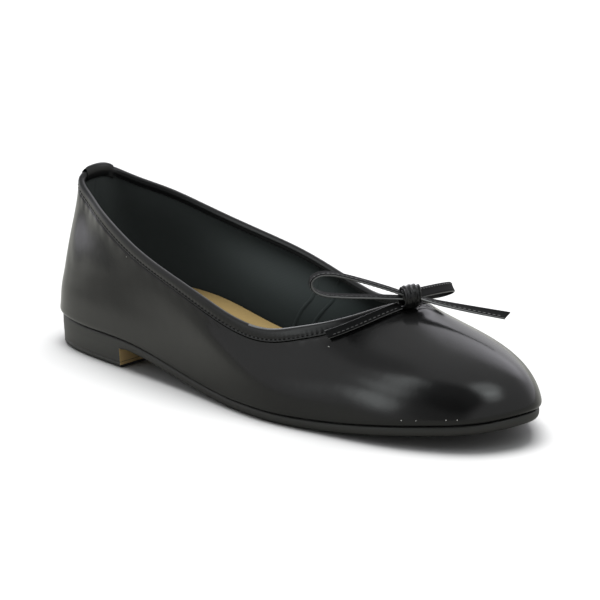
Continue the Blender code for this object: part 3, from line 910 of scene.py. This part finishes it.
def hide_relief(place, depth, bottom):
    """All slow rises and falls of the hide."""
    low_roll = 0.00035 * hump(0.0085, 0.0085, bottom - depth) * hump(0, 6.0, np.minimum(place, ROUND - place))
    waves = 0.00006 * np.sin(2.9 * place + 90 * depth) * ease(0.004, 0.012, depth)
    puckers = 0.00005 * np.sin(19 * place) * hump(0.0055, 0.003, depth)
    return creases(place, depth) + low_roll + waves + puckers


# %% Upper
SKIVE = 0.0006
HIDE = 0.0011
HIDE_TOP = 0.0013
SKIVED_TO = 0.0038
BAND_END = 0.0045
SWELL_FROM, SWELL_TO = 0.0041, 0.0050
BEHIND_HIDE = 0.0001
MARGIN_CLEAR = 0.0002


def outside_rows():
    """Rows of the hide's face from under the binding down to the margin."""
    bottom = shell.depths[-1] - FEATHER_RADIUS
    depths, outs = [HIDE_TOP, SKIVED_TO], [-SKIVE, -SKIVE]
    for step in np.linspace(0, 1, 5):
        depths.append(SWELL_FROM + (SWELL_TO - SWELL_FROM) * step)
        outs.append(-SKIVE * (1 - ease(0, 1, step)) + hide_relief(shell.place, depths[-1], bottom) * step)
    for share in np.linspace(0, 1, 61)[1:]:
        depths.append(SWELL_TO + share * (bottom - SWELL_TO))
        outs.append(hide_relief(shell.place, depths[-1], bottom))
    rows = list(shell.rows(depths, outs))
    turn_from, turn_to = rows[-1], shell.low(FEATHER_RADIUS, 0.0)
    corner = shell.low(0.0, 0.0)
    for t in (0.2, 0.4, 0.6, 0.8):
        rows.append((1 - t) ** 2 * turn_from + 2 * t * (1 - t) * corner + t * t * turn_to)
    rows += [turn_to, shell.low(0.5 * MARGIN_WIDTH, 0.0), shell.low(MARGIN_WIDTH, 0.0)]
    return rows


def inside_rows():
    """Rows of the hide's back, from the top edge down to the margin."""
    bottom = shell.depths[-1] - FEATHER_RADIUS
    depths = [HIDE_TOP] + [BAND_END + share * (bottom - BAND_END) for share in np.linspace(0, 1, 25)]
    rows = list(shell.rows(depths, [-HIDE - BEHIND_HIDE] * len(depths)))
    rows += [shell.low(inward, MARGIN_THICKNESS - MARGIN_CLEAR) for inward in (HIDE + 0.0012, MARGIN_WIDTH)]
    return rows


upper_rows = np.stack(outside_rows() + inside_rows()[::-1])
ring_piece("upper_leather", upper_rows, [finish["black_leather"]], stands_for=["upper"], slot="black_leather")

# %% [markdown]
# ## The lining
# Inside the hide a thin dark lining runs from the binding down beside the sock. On the inner side its
# pieces overlap, and each overlap shows as a low ridge running down and back.

# %% Lining
LINING_TOP = 0.0020
LINING_ABOVE_FEATHER = 0.0006
LINING_BACK = -HIDE - 0.00015
LINING_FACE = -WALL + 0.0001
LINING_SLACK = 0.00008
OVERLAP_HALF_WIDTH = 0.0005


def lining_rows():
    """The lining's two faces, top to bottom and back up."""
    low = shell.depths[-1] - FEATHER_RADIUS - LINING_ABOVE_FEATHER
    depths = [LINING_TOP + share * (low - LINING_TOP) for share in np.linspace(0, 1, 31)]
    slack = [LINING_SLACK * np.sin(2.3 * shell.place + 160 * depth) for depth in depths]
    near_hide = shell.rows(depths, [LINING_BACK] * len(depths))
    near_foot = shell.rows(depths, [LINING_FACE + s for s in slack])
    return np.concatenate([near_hide, near_foot[::-1]])


ring_piece("lining", lining_rows(), [finish["lining_cloth"]], slot="black_leather")

Overlap = namedtuple("Overlap", "place depth")
OVERLAPS = {
    "lining_overlap_front": [
        Overlap(17.90, 0.0030),
        Overlap(18.00, 0.0060),
        Overlap(18.15, 0.0140),
        Overlap(18.35, 0.0205),
        Overlap(18.50, 0.0260),
        Overlap(18.62, 0.0330),
    ],
    "lining_overlap_back": [
        Overlap(18.36, 0.0030),
        Overlap(18.42, 0.0080),
        Overlap(18.55, 0.0170),
        Overlap(18.65, 0.0210),
        Overlap(18.75, 0.0250),
        Overlap(18.88, 0.0330),
    ],
}
# The ridge's section: places across it as shares of half its width, and heights in millimetres.
RIDGE = [(-1.0, 0.05), (-0.6, 0.24), (0.0, 0.34), (0.6, 0.30), (1.0, 0.08)]
RIDGE += [(w, -0.05) for w in (1.0, 0.6, 0.0, -0.6, -1.0)]
for name, rows in OVERLAPS.items():
    line = smooth_line(rows, 12)
    points = []
    for w, t in RIDGE:
        moved = Wall(line[:, 0] + w * OVERLAP_HALF_WIDTH / METRES_PER_PLACE)
        points.append(moved.rows([line[:, 1]], [LINING_FACE - t * MM])[0])
    strip_piece(name, np.stack(points, axis=1), [finish["lining_cloth"]], slot="black_leather")

# %% [markdown]
# ## The binding and its stitches
# A strip of thin leather is folded over the raw edge and sewn through at 3.5 mm. The fold is plump between
# the edge and the stitches, and each stitch pulls it in, so the binding is drawn with enough places round
# the shoe for every stitch to leave its dimple.

# %% Binding
BINDING_AROUND = 1440
STITCH_PITCH = 0.0021
STITCH_DEPTH = 0.0035
binding_wall = Wall(np.arange(BINDING_AROUND) * ROUND / BINDING_AROUND)
crest = binding_wall.curves[0]
topline_steps = np.linalg.norm(np.diff(crest, axis=0, append=crest[:1]), axis=1)
topline_run = np.concatenate([[0], np.cumsum(topline_steps)[:-1]])
stitch_count = int(round(topline_steps.sum() / STITCH_PITCH))
stitch_phase = 2 * np.pi * stitch_count * topline_run / topline_steps.sum()
# Two crest rows along the front of the outer side get the paler finish, a painted highlight.
PAINTED_HIGHLIGHT_ROWS = [13, 14]
PAINTED_HIGHLIGHT_FROM, PAINTED_HIGHLIGHT_TO = 6.8, 11.5
RISE_INNER, RISE_OUTER, FALL_BACK = 0.0011, 0.0009, 0.0006
DIMPLE = 0.00011
Edge = namedtuple("Edge", "depth out pull")
BINDING_OUTLINE = [
    Edge(3.95, -0.20, 0.0),
    Edge(4.24, -0.14, 0.0),
    Edge(4.32, 0.02, 0.0),
    Edge(4.24, 0.13, 0.1),
    Edge(4.00, 0.17, 0.5),
    Edge(3.74, 0.14, 0.9),
    Edge(3.50, 0.09, 1.0),
    Edge(3.26, 0.15, 0.9),
    Edge(2.95, 0.25, 0.5),
    Edge(2.45, 0.32, 0.2),
    Edge(1.90, 0.35, 0.1),
    Edge(1.30, 0.34, 0.0),
    Edge(0.80, 0.25, 0.0),
    Edge(0.40, 0.04, 0.0),
    Edge(0.14, -0.30, 0.0),
    Edge(0.02, -0.72, 0.0),
    Edge(0.00, -1.15, 0.0),
    Edge(0.12, -1.58, 0.0),
    Edge(0.40, -1.94, 0.0),
    Edge(0.80, -2.18, 0.0),
    Edge(1.20, -2.32, 0.1),
    Edge(1.60, -2.36, 0.4),
    Edge(1.90, -2.31, 0.8),
    Edge(2.10, -2.30, 0.8),
    Edge(2.40, -2.34, 0.4),
    Edge(2.60, -2.31, 0.0),
    Edge(2.68, -2.20, 0.0),
    Edge(2.62, -1.98, 0.0),
    Edge(2.30, -1.90, 0.0),
    Edge(1.40, -1.75, 0.0),
    Edge(0.85, -1.30, 0.0),
    Edge(0.80, -0.90, 0.0),
    Edge(1.20, -0.35, 0.0),
    Edge(2.30, -0.22, 0.0),
]
at = binding_wall.place
crest_rise = RISE_INNER * (ease(17.0, 19.0, at) + ease(0.9, 0.0, at)) - FALL_BACK * hump(2.4, 1.5, at)
crest_rise += RISE_OUTER * ease(4.4, 6.0, at) * ease(11.8, 11.0, at)
dimple = DIMPLE * (1 - np.cos(stitch_phase)) / 2
lazy = 0.00004 * np.sin(0.9 * at + 1.0) + 0.00003 * np.sin(5.3 * at)
depths = [edge.depth * MM + lazy - crest_rise * max(1 - edge.depth / 4.0, 0) for edge in BINDING_OUTLINE]
outs = [edge.out * MM - np.sign(edge.out + 1) * edge.pull * dimple for edge in BINDING_OUTLINE]
binding_rows = binding_wall.rows(depths, outs)
picks = np.zeros(binding_rows.shape[:2], int)
picks[PAINTED_HIGHLIGHT_ROWS] = (at > PAINTED_HIGHLIGHT_FROM) & (at < PAINTED_HIGHLIGHT_TO)
ring_piece(
    "topline_fold",
    binding_rows,
    [finish["binding_leather"], finish["fold_painted_highlight"]],
    stands_for=["topline_binding"],
    slot="edge_leather",
    picks=picks.ravel(),
)


# %% Stitches
Thread = namedtuple("Thread", "pitch long thick")
GRAIN_SWELL = (0.0, 0.7, 0.95, 1.0, 0.95, 0.7, 0.0)
TURNS = np.arange(8) * np.pi / 4


def thread_run(line, ways, thread, wanted=lambda share: True):
    """Points and faces of stitches along a line, each a small raised grain that stands up the ways given."""
    run = np.concatenate([[0], np.cumsum(np.linalg.norm(np.diff(line, axis=0), axis=1))])
    count = int(round(run[-1] / thread.pitch))
    points, faces = [], []
    for j in range(count):
        middle = (j + 0.5) * run[-1] / count
        if not wanted(middle / run[-1]):
            continue
        at = middle + np.linspace(-0.5, 0.5, len(GRAIN_SWELL)) * thread.long
        centre = np.stack([np.interp(at, run, line[:, k]) for k in range(3)], axis=1)
        lean = unit(np.stack([np.interp(at, run, ways[:, k]) for k in range(3)], axis=1))
        side = np.cross(unit(np.gradient(centre, axis=0)), lean)
        first = len(points)
        for c, n, s, b in zip(centre, lean, side, GRAIN_SWELL):
            for turn in TURNS:
                ring = s * np.cos(turn) * 1.15 + n * np.sin(turn) * 0.8
                points.append(c + thread.thick * (n * (0.9 * b - 0.55) + ring * (0.35 + 0.65 * b)))
        faces += capped_tube(len(GRAIN_SWELL), len(TURNS), first)
    return points, faces


def collar_stitches(name, depth, out, thread, skip):
    """A run of stitches round the collar, left out under the back tab."""
    line, raised = binding_wall.rows([depth, depth], [out, out + np.sign(out + 0.0012) * MM])
    line, ways = np.vstack([line, line[:1]]), np.vstack([raised - line, raised[:1] - line[:1]])
    places = np.append(binding_wall.place, ROUND)
    shares = np.concatenate([topline_run, [topline_steps.sum()]]) / topline_steps.sum()

    def wanted(share):
        place = np.interp(share, shares, places)
        return skip[1] < place < ROUND + skip[0]

    points, faces = thread_run(line, ways, thread, wanted)
    return make_piece(name, np.array(points), faces, [finish["black_thread"]], slot="edge_leather")


TAB_FROM, TAB_TO = -1.12, 0.62
tab_cover = (TAB_FROM - 0.02, TAB_TO + 0.02)
STITCH_OUT = 0.00013
INSIDE_DEPTH, INSIDE_OUT = 0.0020, -0.00236
outside_thread, inside_thread = Thread(STITCH_PITCH, 0.0013, 0.00020), Thread(STITCH_PITCH, 0.0014, 0.00014)
collar_stitches("topline_stitches", STITCH_DEPTH, STITCH_OUT, outside_thread, tab_cover)
collar_stitches("topline_stitches_inside", INSIDE_DEPTH, INSIDE_OUT, inside_thread, tab_cover)

# %% Stitches along the lace
# These stitches take the pale grey lace thread, which is a painted highlight on them.
LACE_THREAD = Thread(0.0019, 0.0013, 0.00015)
for name, sections in lace_strands.items():
    points, faces = [], []
    inner = sections[3:-3]
    count = inner.shape[1]
    for first, second in ((9, 3), (count // 2 + 3, count // 2 + 9)):
        line = 0.92 * inner[:, first] + 0.08 * inner[:, second]
        ways = np.cross(np.gradient(line, axis=0), inner[:, second] - inner[:, first])
        outside = inner[:, first] - inner[:, count - 1 - first]
        ways *= np.sign(np.sum(ways * outside, axis=1, keepdims=True))
        more_points, more_faces = thread_run(line, ways, LACE_THREAD)
        faces += [tuple(len(points) + k for k in face) for face in more_faces]
        points += more_points
    make_piece(name + "_stitches", np.array(points), faces, [finish["lace_thread"]], slot="lace_leather")

# %% [markdown]
# ## The back tab
# At the middle of the back a short strip is folded over the binding to cover its joint. It is drawn the
# same way as the binding, one layer further out, with its two ends slightly lifted and a few faint puckers.

# %% Back tab
TAB_STEPS = 97
TAB_THICKNESS = 0.36
TAB_END_LOW, TAB_END_IN = 0.00014, 0.00016
tab_wall = Wall(np.linspace(TAB_FROM, TAB_TO, TAB_STEPS))
TabEdge = namedtuple("TabEdge", "depth out")
TAB_OUTLINE = [
    TabEdge(8.50, 0.34),
    TabEdge(8.35, 0.46),
    TabEdge(7.80, 0.50),
    TabEdge(6.50, 0.48),
    TabEdge(5.20, 0.52),
    TabEdge(4.40, 0.62),
    TabEdge(3.50, 0.70),
    TabEdge(2.40, 0.78),
    TabEdge(1.40, 0.78),
    TabEdge(0.50, 0.66),
    TabEdge(-0.40, 0.30),
    TabEdge(-1.10, -0.20),
    TabEdge(-1.45, -0.90),
    TabEdge(-1.35, -1.65),
    TabEdge(-0.85, -2.30),
    TabEdge(0.10, -2.72),
    TabEdge(1.40, -2.84),
    TabEdge(2.60, -2.84),
    TabEdge(3.30, -2.74),
    TabEdge(3.60, -2.50),
]
outer_line = np.array(TAB_OUTLINE)
padded = np.vstack([outer_line[:1], outer_line, outer_line[-1:]])
inner_line = outer_line + TAB_THICKNESS * unit(padded[2:] - padded[:-2])[:, ::-1]
tab_span = np.linspace(-1, 1, TAB_STEPS)
tab_end = ease(0.80, 1.0, np.abs(tab_span))
pucker = 0.00003 * np.sin(tab_span * 5.3 + 0.6)
section = np.vstack([outer_line, inner_line[::-1]])
depths = [depth * MM + TAB_END_LOW * tab_end * (-2.0 < out < 0.2) for depth, out in section]
outs = [out * MM + np.sign(out + 1) * (pucker - TAB_END_IN * tab_end) for _, out in section]
tab_sections = np.transpose(tab_wall.rows(depths, outs), (1, 0, 2))
surfaces = [finish["binding_leather"]]
strip_piece("back_tab_leather", tab_sections, surfaces, stands_for=["back_tab"], slot="black_leather")

# %% [markdown]
# ## Specks
# A shoe straight from the box has a few crumbs of dried cement along the sole and a grain or two of dust on
# the hide. Each is a tiny flattened crumb that sits on the leather.

# %% Specks of dust and cement
Speck = namedtuple("Speck", "place from_top from_sole size")
SPECKS = [
    Speck(3.80, 0.0062, None, 0.00024),
    Speck(8.60, 0.0105, None, 0.00028),
    Speck(9.46, None, 0.0006, 0.00028),
    Speck(9.72, None, 0.0005, 0.00022),
    Speck(10.28, None, 0.0006, 0.00026),
    Speck(10.50, None, 0.0005, 0.00022),
]
SPECK_OUT = 0.00005
SPECK_TILTS = np.radians((12, 55, 90, 125))


def specks():
    """The crumbs, each a squashed ball of a few faces."""
    points, faces = [], []
    for speck in SPECKS:
        spot = Wall([speck.place])
        depth = speck.from_top if speck.from_top else spot.depths[-1] - FEATHER_RADIUS - speck.from_sole
        low, high = spot.rows([depth, depth], [SPECK_OUT, SPECK_OUT + MM])[:, 0]
        lean = unit(high - low)
        side = unit(np.cross(lean, UP + 0.3))
        first = len(points)
        for tilt in SPECK_TILTS:
            for turn in TURNS + tilt:
                level = side * np.cos(turn) + np.cross(lean, side) * np.sin(turn) * 0.8
                points.append(low + speck.size * (np.sin(tilt) * level + 0.6 * np.cos(tilt) * lean))
        faces += capped_tube(len(SPECK_TILTS), len(TURNS), first)
    return make_piece("specks", np.array(points), faces, [finish["pale_crumb"]])


specks()

# %% [markdown]
# ## Sole, heel and sock
# These are plates: stacked outlines joined round their rims and closed above and below. The sock's edge is
# turned soft, the sole's edge is trimmed and blacked, and the heel's sides are blacked like the sole while
# its front face keeps the bare tan of the stack.


# %% Plates
def plate(levels, across, open_front=False):
    """Points and faces of stacked outlines, top first. Each has an outer and an inner side, back to front."""
    points, faces, rims, grids = [], [], [], []
    shares = np.linspace(0, 1, across + 1)
    for number, (outer, inner) in enumerate(levels):
        capped = number in (0, len(levels) - 1)
        grid = []
        for i in range(len(outer)):
            single = i == 0 or (i == len(outer) - 1 and not open_front)
            front = open_front and i == len(outer) - 1
            picks = [0] if single else shares if capped or front else [0, 1]
            row = []
            for share in picks:
                row.append(len(points))
                points.append((1 - share) * outer[i] + share * inner[i])
            grid.append(row)
        front_row = grid[-1][1:-1] if open_front else []
        inner_side = [row[-1] for row in grid[:0:-1]] if open_front else [row[-1] for row in grid[-2:0:-1]]
        rims.append([row[0] for row in grid] + front_row + inner_side)
        grids.append(grid)
    for upper_rim, lower_rim in zip(rims, rims[1:]):
        count = len(upper_rim)
        for k in range(count):
            m = (k + 1) % count
            faces.append((upper_rim[k], lower_rim[k], lower_rim[m], upper_rim[m]))
    for grid in (grids[0], grids[-1]):
        for behind, before in zip(grid, grid[1:]):
            for k in range(across):
                corners = [behind[min(k, len(behind) - 1)], before[min(k, len(before) - 1)]]
                corners += [before[min(k + 1, len(before) - 1)], behind[min(k + 1, len(behind) - 1)]]
                faces.append(tuple(dict.fromkeys(corners)))
    return np.array(points), faces


def sides(points):
    """A loop of places as its outer side and its inner side, back to front."""
    front = AROUND // 2
    return points[: front + 1], np.vstack([points[:1], points[: front - 1 : -1]])


def sole_bottom(points):
    """The same points on the underside of the sole."""
    lowered = points - SOLE_THICKNESS * UP
    lowered[:, 2] = np.where(lowered[:, 2] < 1e-6, 0.0, lowered[:, 2])
    return lowered


# %% Outsole
BREAST_X = BREAST_FROM_BACK - LENGTH / 2
NEARLY = 0.0001
under_heel = ease(0.001, -0.001, shell.foot[:, 0] - BREAST_X - 0.002)


def sole_level(inset, drop):
    """An outline of the sole, this far in and this far down from its top."""
    return shell.low(SOLE_INSET + inset, -GAP - drop)


sole_levels = [
    sole_level(0.0012, 0.0),
    sole_level(0.0006, 0.00008),
    sole_level(0.0002, 0.0003),
    sole_level(0.0, 0.0007),
    sole_level(-0.00006 * (1 - under_heel), 0.0016),
    sole_level(0.0, 0.0024),
]
for inset, rise, flush in ((0.00025, 0.00075, 0.0006), (0.0007, 0.00025, 0.0003), (0.0013, 0.0, 0.0)):
    eased = inset * (1 - under_heel)
    points = sole_bottom(shell.low(SOLE_INSET + eased, 0.0))
    points[:, 2] += rise * (1 - under_heel) + flush * under_heel
    sole_levels.append(points)
points, faces = plate([sides(level) for level in sole_levels], 16)
centres = face_centres(points, faces)
picks = centres[:, 2] < underside(centres[:, 0]) - SOLE_THICKNESS + NEARLY
surfaces = [finish["sole_rubber"], finish["tread_rubber"]]
make_piece("outsole_rubber", points, faces, surfaces, ["outsole"], "black_rubber", picks)

# %% Sock
CUSHION, CUSHION_AT_ARCH = 0.0016, 0.0018
base = MARGIN_THICKNESS + GAP
inner_arch = ease(12.5, 16.0, shell.place) * ease(23.6, 20.5, shell.place)
top = base + INSOLE_THICKNESS + CUSHION + CUSHION_AT_ARCH * inner_arch
sock_inset = WALL + GAP + shell.lean(base + INSOLE_THICKNESS)
sock_rows = [(0.0012, top), (0.0006, top - 0.00012), (0.0002, top - 0.0005), (0.0, top - 0.0011)]
sock_rows += [(0.0, base + 0.0008), (0.0008, base)]
sock_levels = [sides(shell.low(sock_inset + inset, height)) for inset, height in sock_rows]
points, faces = plate(sock_levels, 16)
make_piece("insole_sock", points, faces, [finish["tan_sock"]], ["insole"], "tan_sock")

# %% Heel
fine_places = np.linspace(0, LAST_RIB, 1201)
breast_place = fine_places[np.searchsorted(feather(fine_places)[:, 0], BREAST_X)]
heel_walls = [Wall(np.linspace(0, breast_place, 90)), Wall(ROUND - np.linspace(0, breast_place, 90))]


def heel_level(inset, height=None, share=None):
    """One outline of the heel: at the sole's underside, at a level height, or a share of the way down."""
    outlines = []
    for wall in heel_walls:
        points = sole_bottom(wall.low(inset, 0.0))
        if height is not None:
            points[:, 2] = height
        if share is not None:
            points[:, 2] = (1 - share) * points[:, 2] + share * (LIFT_THICKNESS + GAP)
        points[-1, 0] = BREAST_X
        outlines.append(points)
    return tuple(outlines)


lift_inset = SOLE_INSET + HEEL_TAPER
heel_levels = [tuple(points + 0.0002 * UP for points in heel_level(SOLE_INSET + 0.0003))]
heel_levels += [heel_level(SOLE_INSET + HEEL_TAPER * share, share=share) for share in (0.0, 0.25, 0.5, 0.75)]
heel_levels += [heel_level(lift_inset, LIFT_THICKNESS + 0.00015)]
points, faces = plate(heel_levels, 12, open_front=True)
picks = face_centres(points, faces)[:, 0] > BREAST_X - NEARLY / 5
surfaces = [finish["sole_rubber"], finish["tan_breast"]]
make_piece("heel_block", points, faces, surfaces, ["heel"], "tan_heel", picks)

# %% Top lift
BLACK_TO = 0.0009
lift_rows = [(0.00012, LIFT_THICKNESS), (0.0, LIFT_THICKNESS - 0.00012), (0.00005, 0.0010)]
lift_rows += [(0.00035, 0.0005), (0.0007, 0.00015), (0.0012, 0.0)]
lift_levels = [heel_level(lift_inset + inset, height) for inset, height in lift_rows]
points, faces = plate(lift_levels, 12, open_front=True)
centres = face_centres(points, faces)
picks = np.where(centres[:, 2] < NEARLY, 1, 0)
picks[(centres[:, 0] > BREAST_X - NEARLY / 5) & (centres[:, 2] > BLACK_TO)] = 2
surfaces = [finish["sole_rubber"], finish["tread_rubber"], finish["tan_breast"]]
make_piece("top_lift_rubber", points, faces, surfaces, ["top_lift"], "black_rubber", picks)

# %% [markdown]
# ## The studio
# The shoe stands on a white sweep in a room lit by large soft sources. Black leather is a mirror for them,
# so each is placed by where its reflection falls: a bright window high behind, a pale wall at the back
# left, two soft boxes that leave the two highlights on the toe, and a dark gap between those boxes.

# %% Soft patches of light
tree, start, end = new_group(
    "soft_patch",
    [("Vector", "Vector", None), ("Axis", "Vector", None), ("Inner", "Float", 0.1), ("Outer", "Float", 0.3)],
    [("Share", "Float")],
)
facing = add(tree, "VectorMath", {"operation": "DOT_PRODUCT"})
put(tree, facing, "0", start.outputs["Vector"])
put(tree, facing, "1", start.outputs["Axis"])
angle = maths(tree, "ARCCOSINE", facing.outputs["Value"])
soft = tree.nodes.new("ShaderNodeMapRange")
soft.interpolation_type = "SMOOTHSTEP"
put(tree, soft, "Value", angle)
put(tree, soft, "From Min", start.outputs["Outer"])
put(tree, soft, "From Max", start.outputs["Inner"])
tree.links.new(soft.outputs[0], end.inputs["Share"])
soft_patch = tree

Patch = namedtuple("Patch", "azimuth elevation inner outer strength tint")
NEUTRAL, COOL, LILAC = (1.0, 1.0, 1.0), (0.95, 1.01, 1.01), (0.99, 0.97, 1.06)
LIGHTS = {
    "window_behind": Patch(-164, 38, 9, 27, 0.98, LILAC),
    "pale_backdrop": Patch(-172, 12, 14, 50, 0.42, LILAC),
    "pale_wall_left": Patch(-106, 4, 24, 38, 1.10, LILAC),
    "box_left_high": Patch(-17, 47, 4, 11, 1.75, COOL),
    "box_left_middle": Patch(-17, 32, 4, 13, 1.40, COOL),
    "box_left_low": Patch(-19, 14, 4, 12, 1.90, COOL),
    "box_toe_high": Patch(73, 61, 8, 20, 1.60, COOL),
    "box_toe_low": Patch(75, 46, 5, 17, 1.30, COOL),
}
SHADES = {
    "dark_gap": Patch(23, 40, 20, 35, 0.85, NEUTRAL),
    "dark_room_in_front": Patch(15, 17, 14, 32, 0.60, NEUTRAL),
    "dark_corner": Patch(-50, 54, 5, 16, 0.50, NEUTRAL),
}
ROOM = 0.54


def toward(azimuth, elevation):
    """A direction. Azimuth 0 is in front of the outer side, and 90 in front of the toe."""
    a, e = np.radians(azimuth), np.radians(elevation)
    return (float(np.sin(a) * np.cos(e)), float(-np.cos(a) * np.cos(e)), float(np.sin(e)))


# %% World
world = bpy.data.worlds.new("studio")
world.use_nodes = True
bpy.context.scene.world = world
tree = world.node_tree
backdrop = tree.nodes["Background"]
way = tree.nodes.new("ShaderNodeTexCoord").outputs["Generated"]


def patch_share(patch):
    """How much of a patch is seen in each direction."""
    axis = toward(patch.azimuth, patch.elevation)
    inner, outer = (float(np.radians(angle)) for angle in (patch.inner, patch.outer))
    return use_group(tree, soft_patch, Vector=way, Axis=axis, Inner=inner, Outer=outer).outputs["Share"]


def vector_maths(operation, first, second):
    """The result of one Vector Math node. The second value can be a socket or three numbers."""
    node = tree.nodes.new("ShaderNodeVectorMath")
    node.operation = operation
    put(tree, node, "0", first)
    put(tree, node, "1", second)
    return node.outputs[0]


light = None
for patch in LIGHTS.values():
    strong = [maths(tree, "MULTIPLY", patch_share(patch), patch.strength * channel) for channel in patch.tint]
    shone = three(tree, strong)
    light = shone if light is None else vector_maths("ADD", light, shone)
light = vector_maths("ADD", light, (ROOM, ROOM, ROOM))
for patch in SHADES.values():
    kept = maths(tree, "SUBTRACT", 1.0, maths(tree, "MULTIPLY", patch_share(patch), patch.strength))
    light = vector_maths("MULTIPLY", light, three(tree, [kept] * 3))
tree.links.new(light, backdrop.inputs["Color"])
backdrop.inputs["Strength"].default_value = 1.0

# %% [markdown]
# ## The floor and the lamp
# To the camera the floor is an even white sweep. In the shoe's reflections it is darker, and a little paler
# in two soft places of painted light. One wide soft lamp above lays the shadow.

# %% Floor
FLOOR_SEEN = (0.47, 0.47, 0.47)
FLOOR_REFLECTED = 0.185
FLOOR_TINT = (1.0, 1.0, 0.92)
floor_mesh = bpy.data.meshes.new("floor")
floor_mesh.from_pydata([(-3, -3, 0), (3, -3, 0), (3, 3, 0), (-3, 3, 0)], [], [(0, 1, 2, 3)])
floor = bpy.data.objects.new("floor", floor_mesh)
floor.location.z = -0.0001
bpy.context.scene.collection.objects.link(floor)
paper = bpy.data.materials.new("white_sweep")
paper.use_nodes = True
tree = paper.node_tree
paper_shader = tree.nodes["Principled BSDF"]
seen = tree.nodes.new("ShaderNodeLightPath").outputs["Is Camera Ray"]
spot = add(tree, "SeparateXYZ", Vector=tree.nodes.new("ShaderNodeTexCoord").outputs["Object"])
# Two soft places, seen only in reflections, are painted paler: painted light.
beside = remap(tree, spot.outputs["Y"], -0.125, -0.075, 0.0, 1.0)
near = maths(tree, "MULTIPLY", remap(tree, spot.outputs["X"], -0.03, -0.10, 0.0, 0.12), beside)
behind = remap(tree, spot.outputs["Y"], -0.32, -0.16, 0.0, 1.0)
far = maths(tree, "MULTIPLY", remap(tree, spot.outputs["X"], -0.38, -0.55, 0.0, 0.25), behind)
shade = maths(tree, "ADD", maths(tree, "ADD", near, FLOOR_REFLECTED), far)
reflected = three(tree, [maths(tree, "MULTIPLY", shade, channel) for channel in FLOOR_TINT])
put(tree, paper_shader, "Base Color", mix_colours(tree, seen, reflected, FLOOR_SEEN))
put(tree, paper_shader, "Roughness", 0.8)
put(tree, paper_shader, "Specular IOR Level", 0.1)
floor_mesh.materials.append(paper)

# %% Lamp over the table
LAMP_WAY = Vector(toward(-150, 82))
LAMP_DISTANCE = 1.8
lamp_data = bpy.data.lights.new("table_lamp", "AREA")
lamp_data.shape = "DISK"
lamp_data.size = 1.6
lamp_data.energy = 70.0
lamp = bpy.data.objects.new("table_lamp", lamp_data)
lamp.location = LAMP_WAY * LAMP_DISTANCE
lamp.rotation_mode = "QUATERNION"
lamp.rotation_quaternion = LAMP_WAY.to_track_quat("Z", "Y")
lamp.visible_glossy = False
bpy.context.scene.collection.objects.link(lamp)
bpy.context.scene.view_settings.view_transform = "Standard"
bpy.context.scene.view_settings.look = "None"
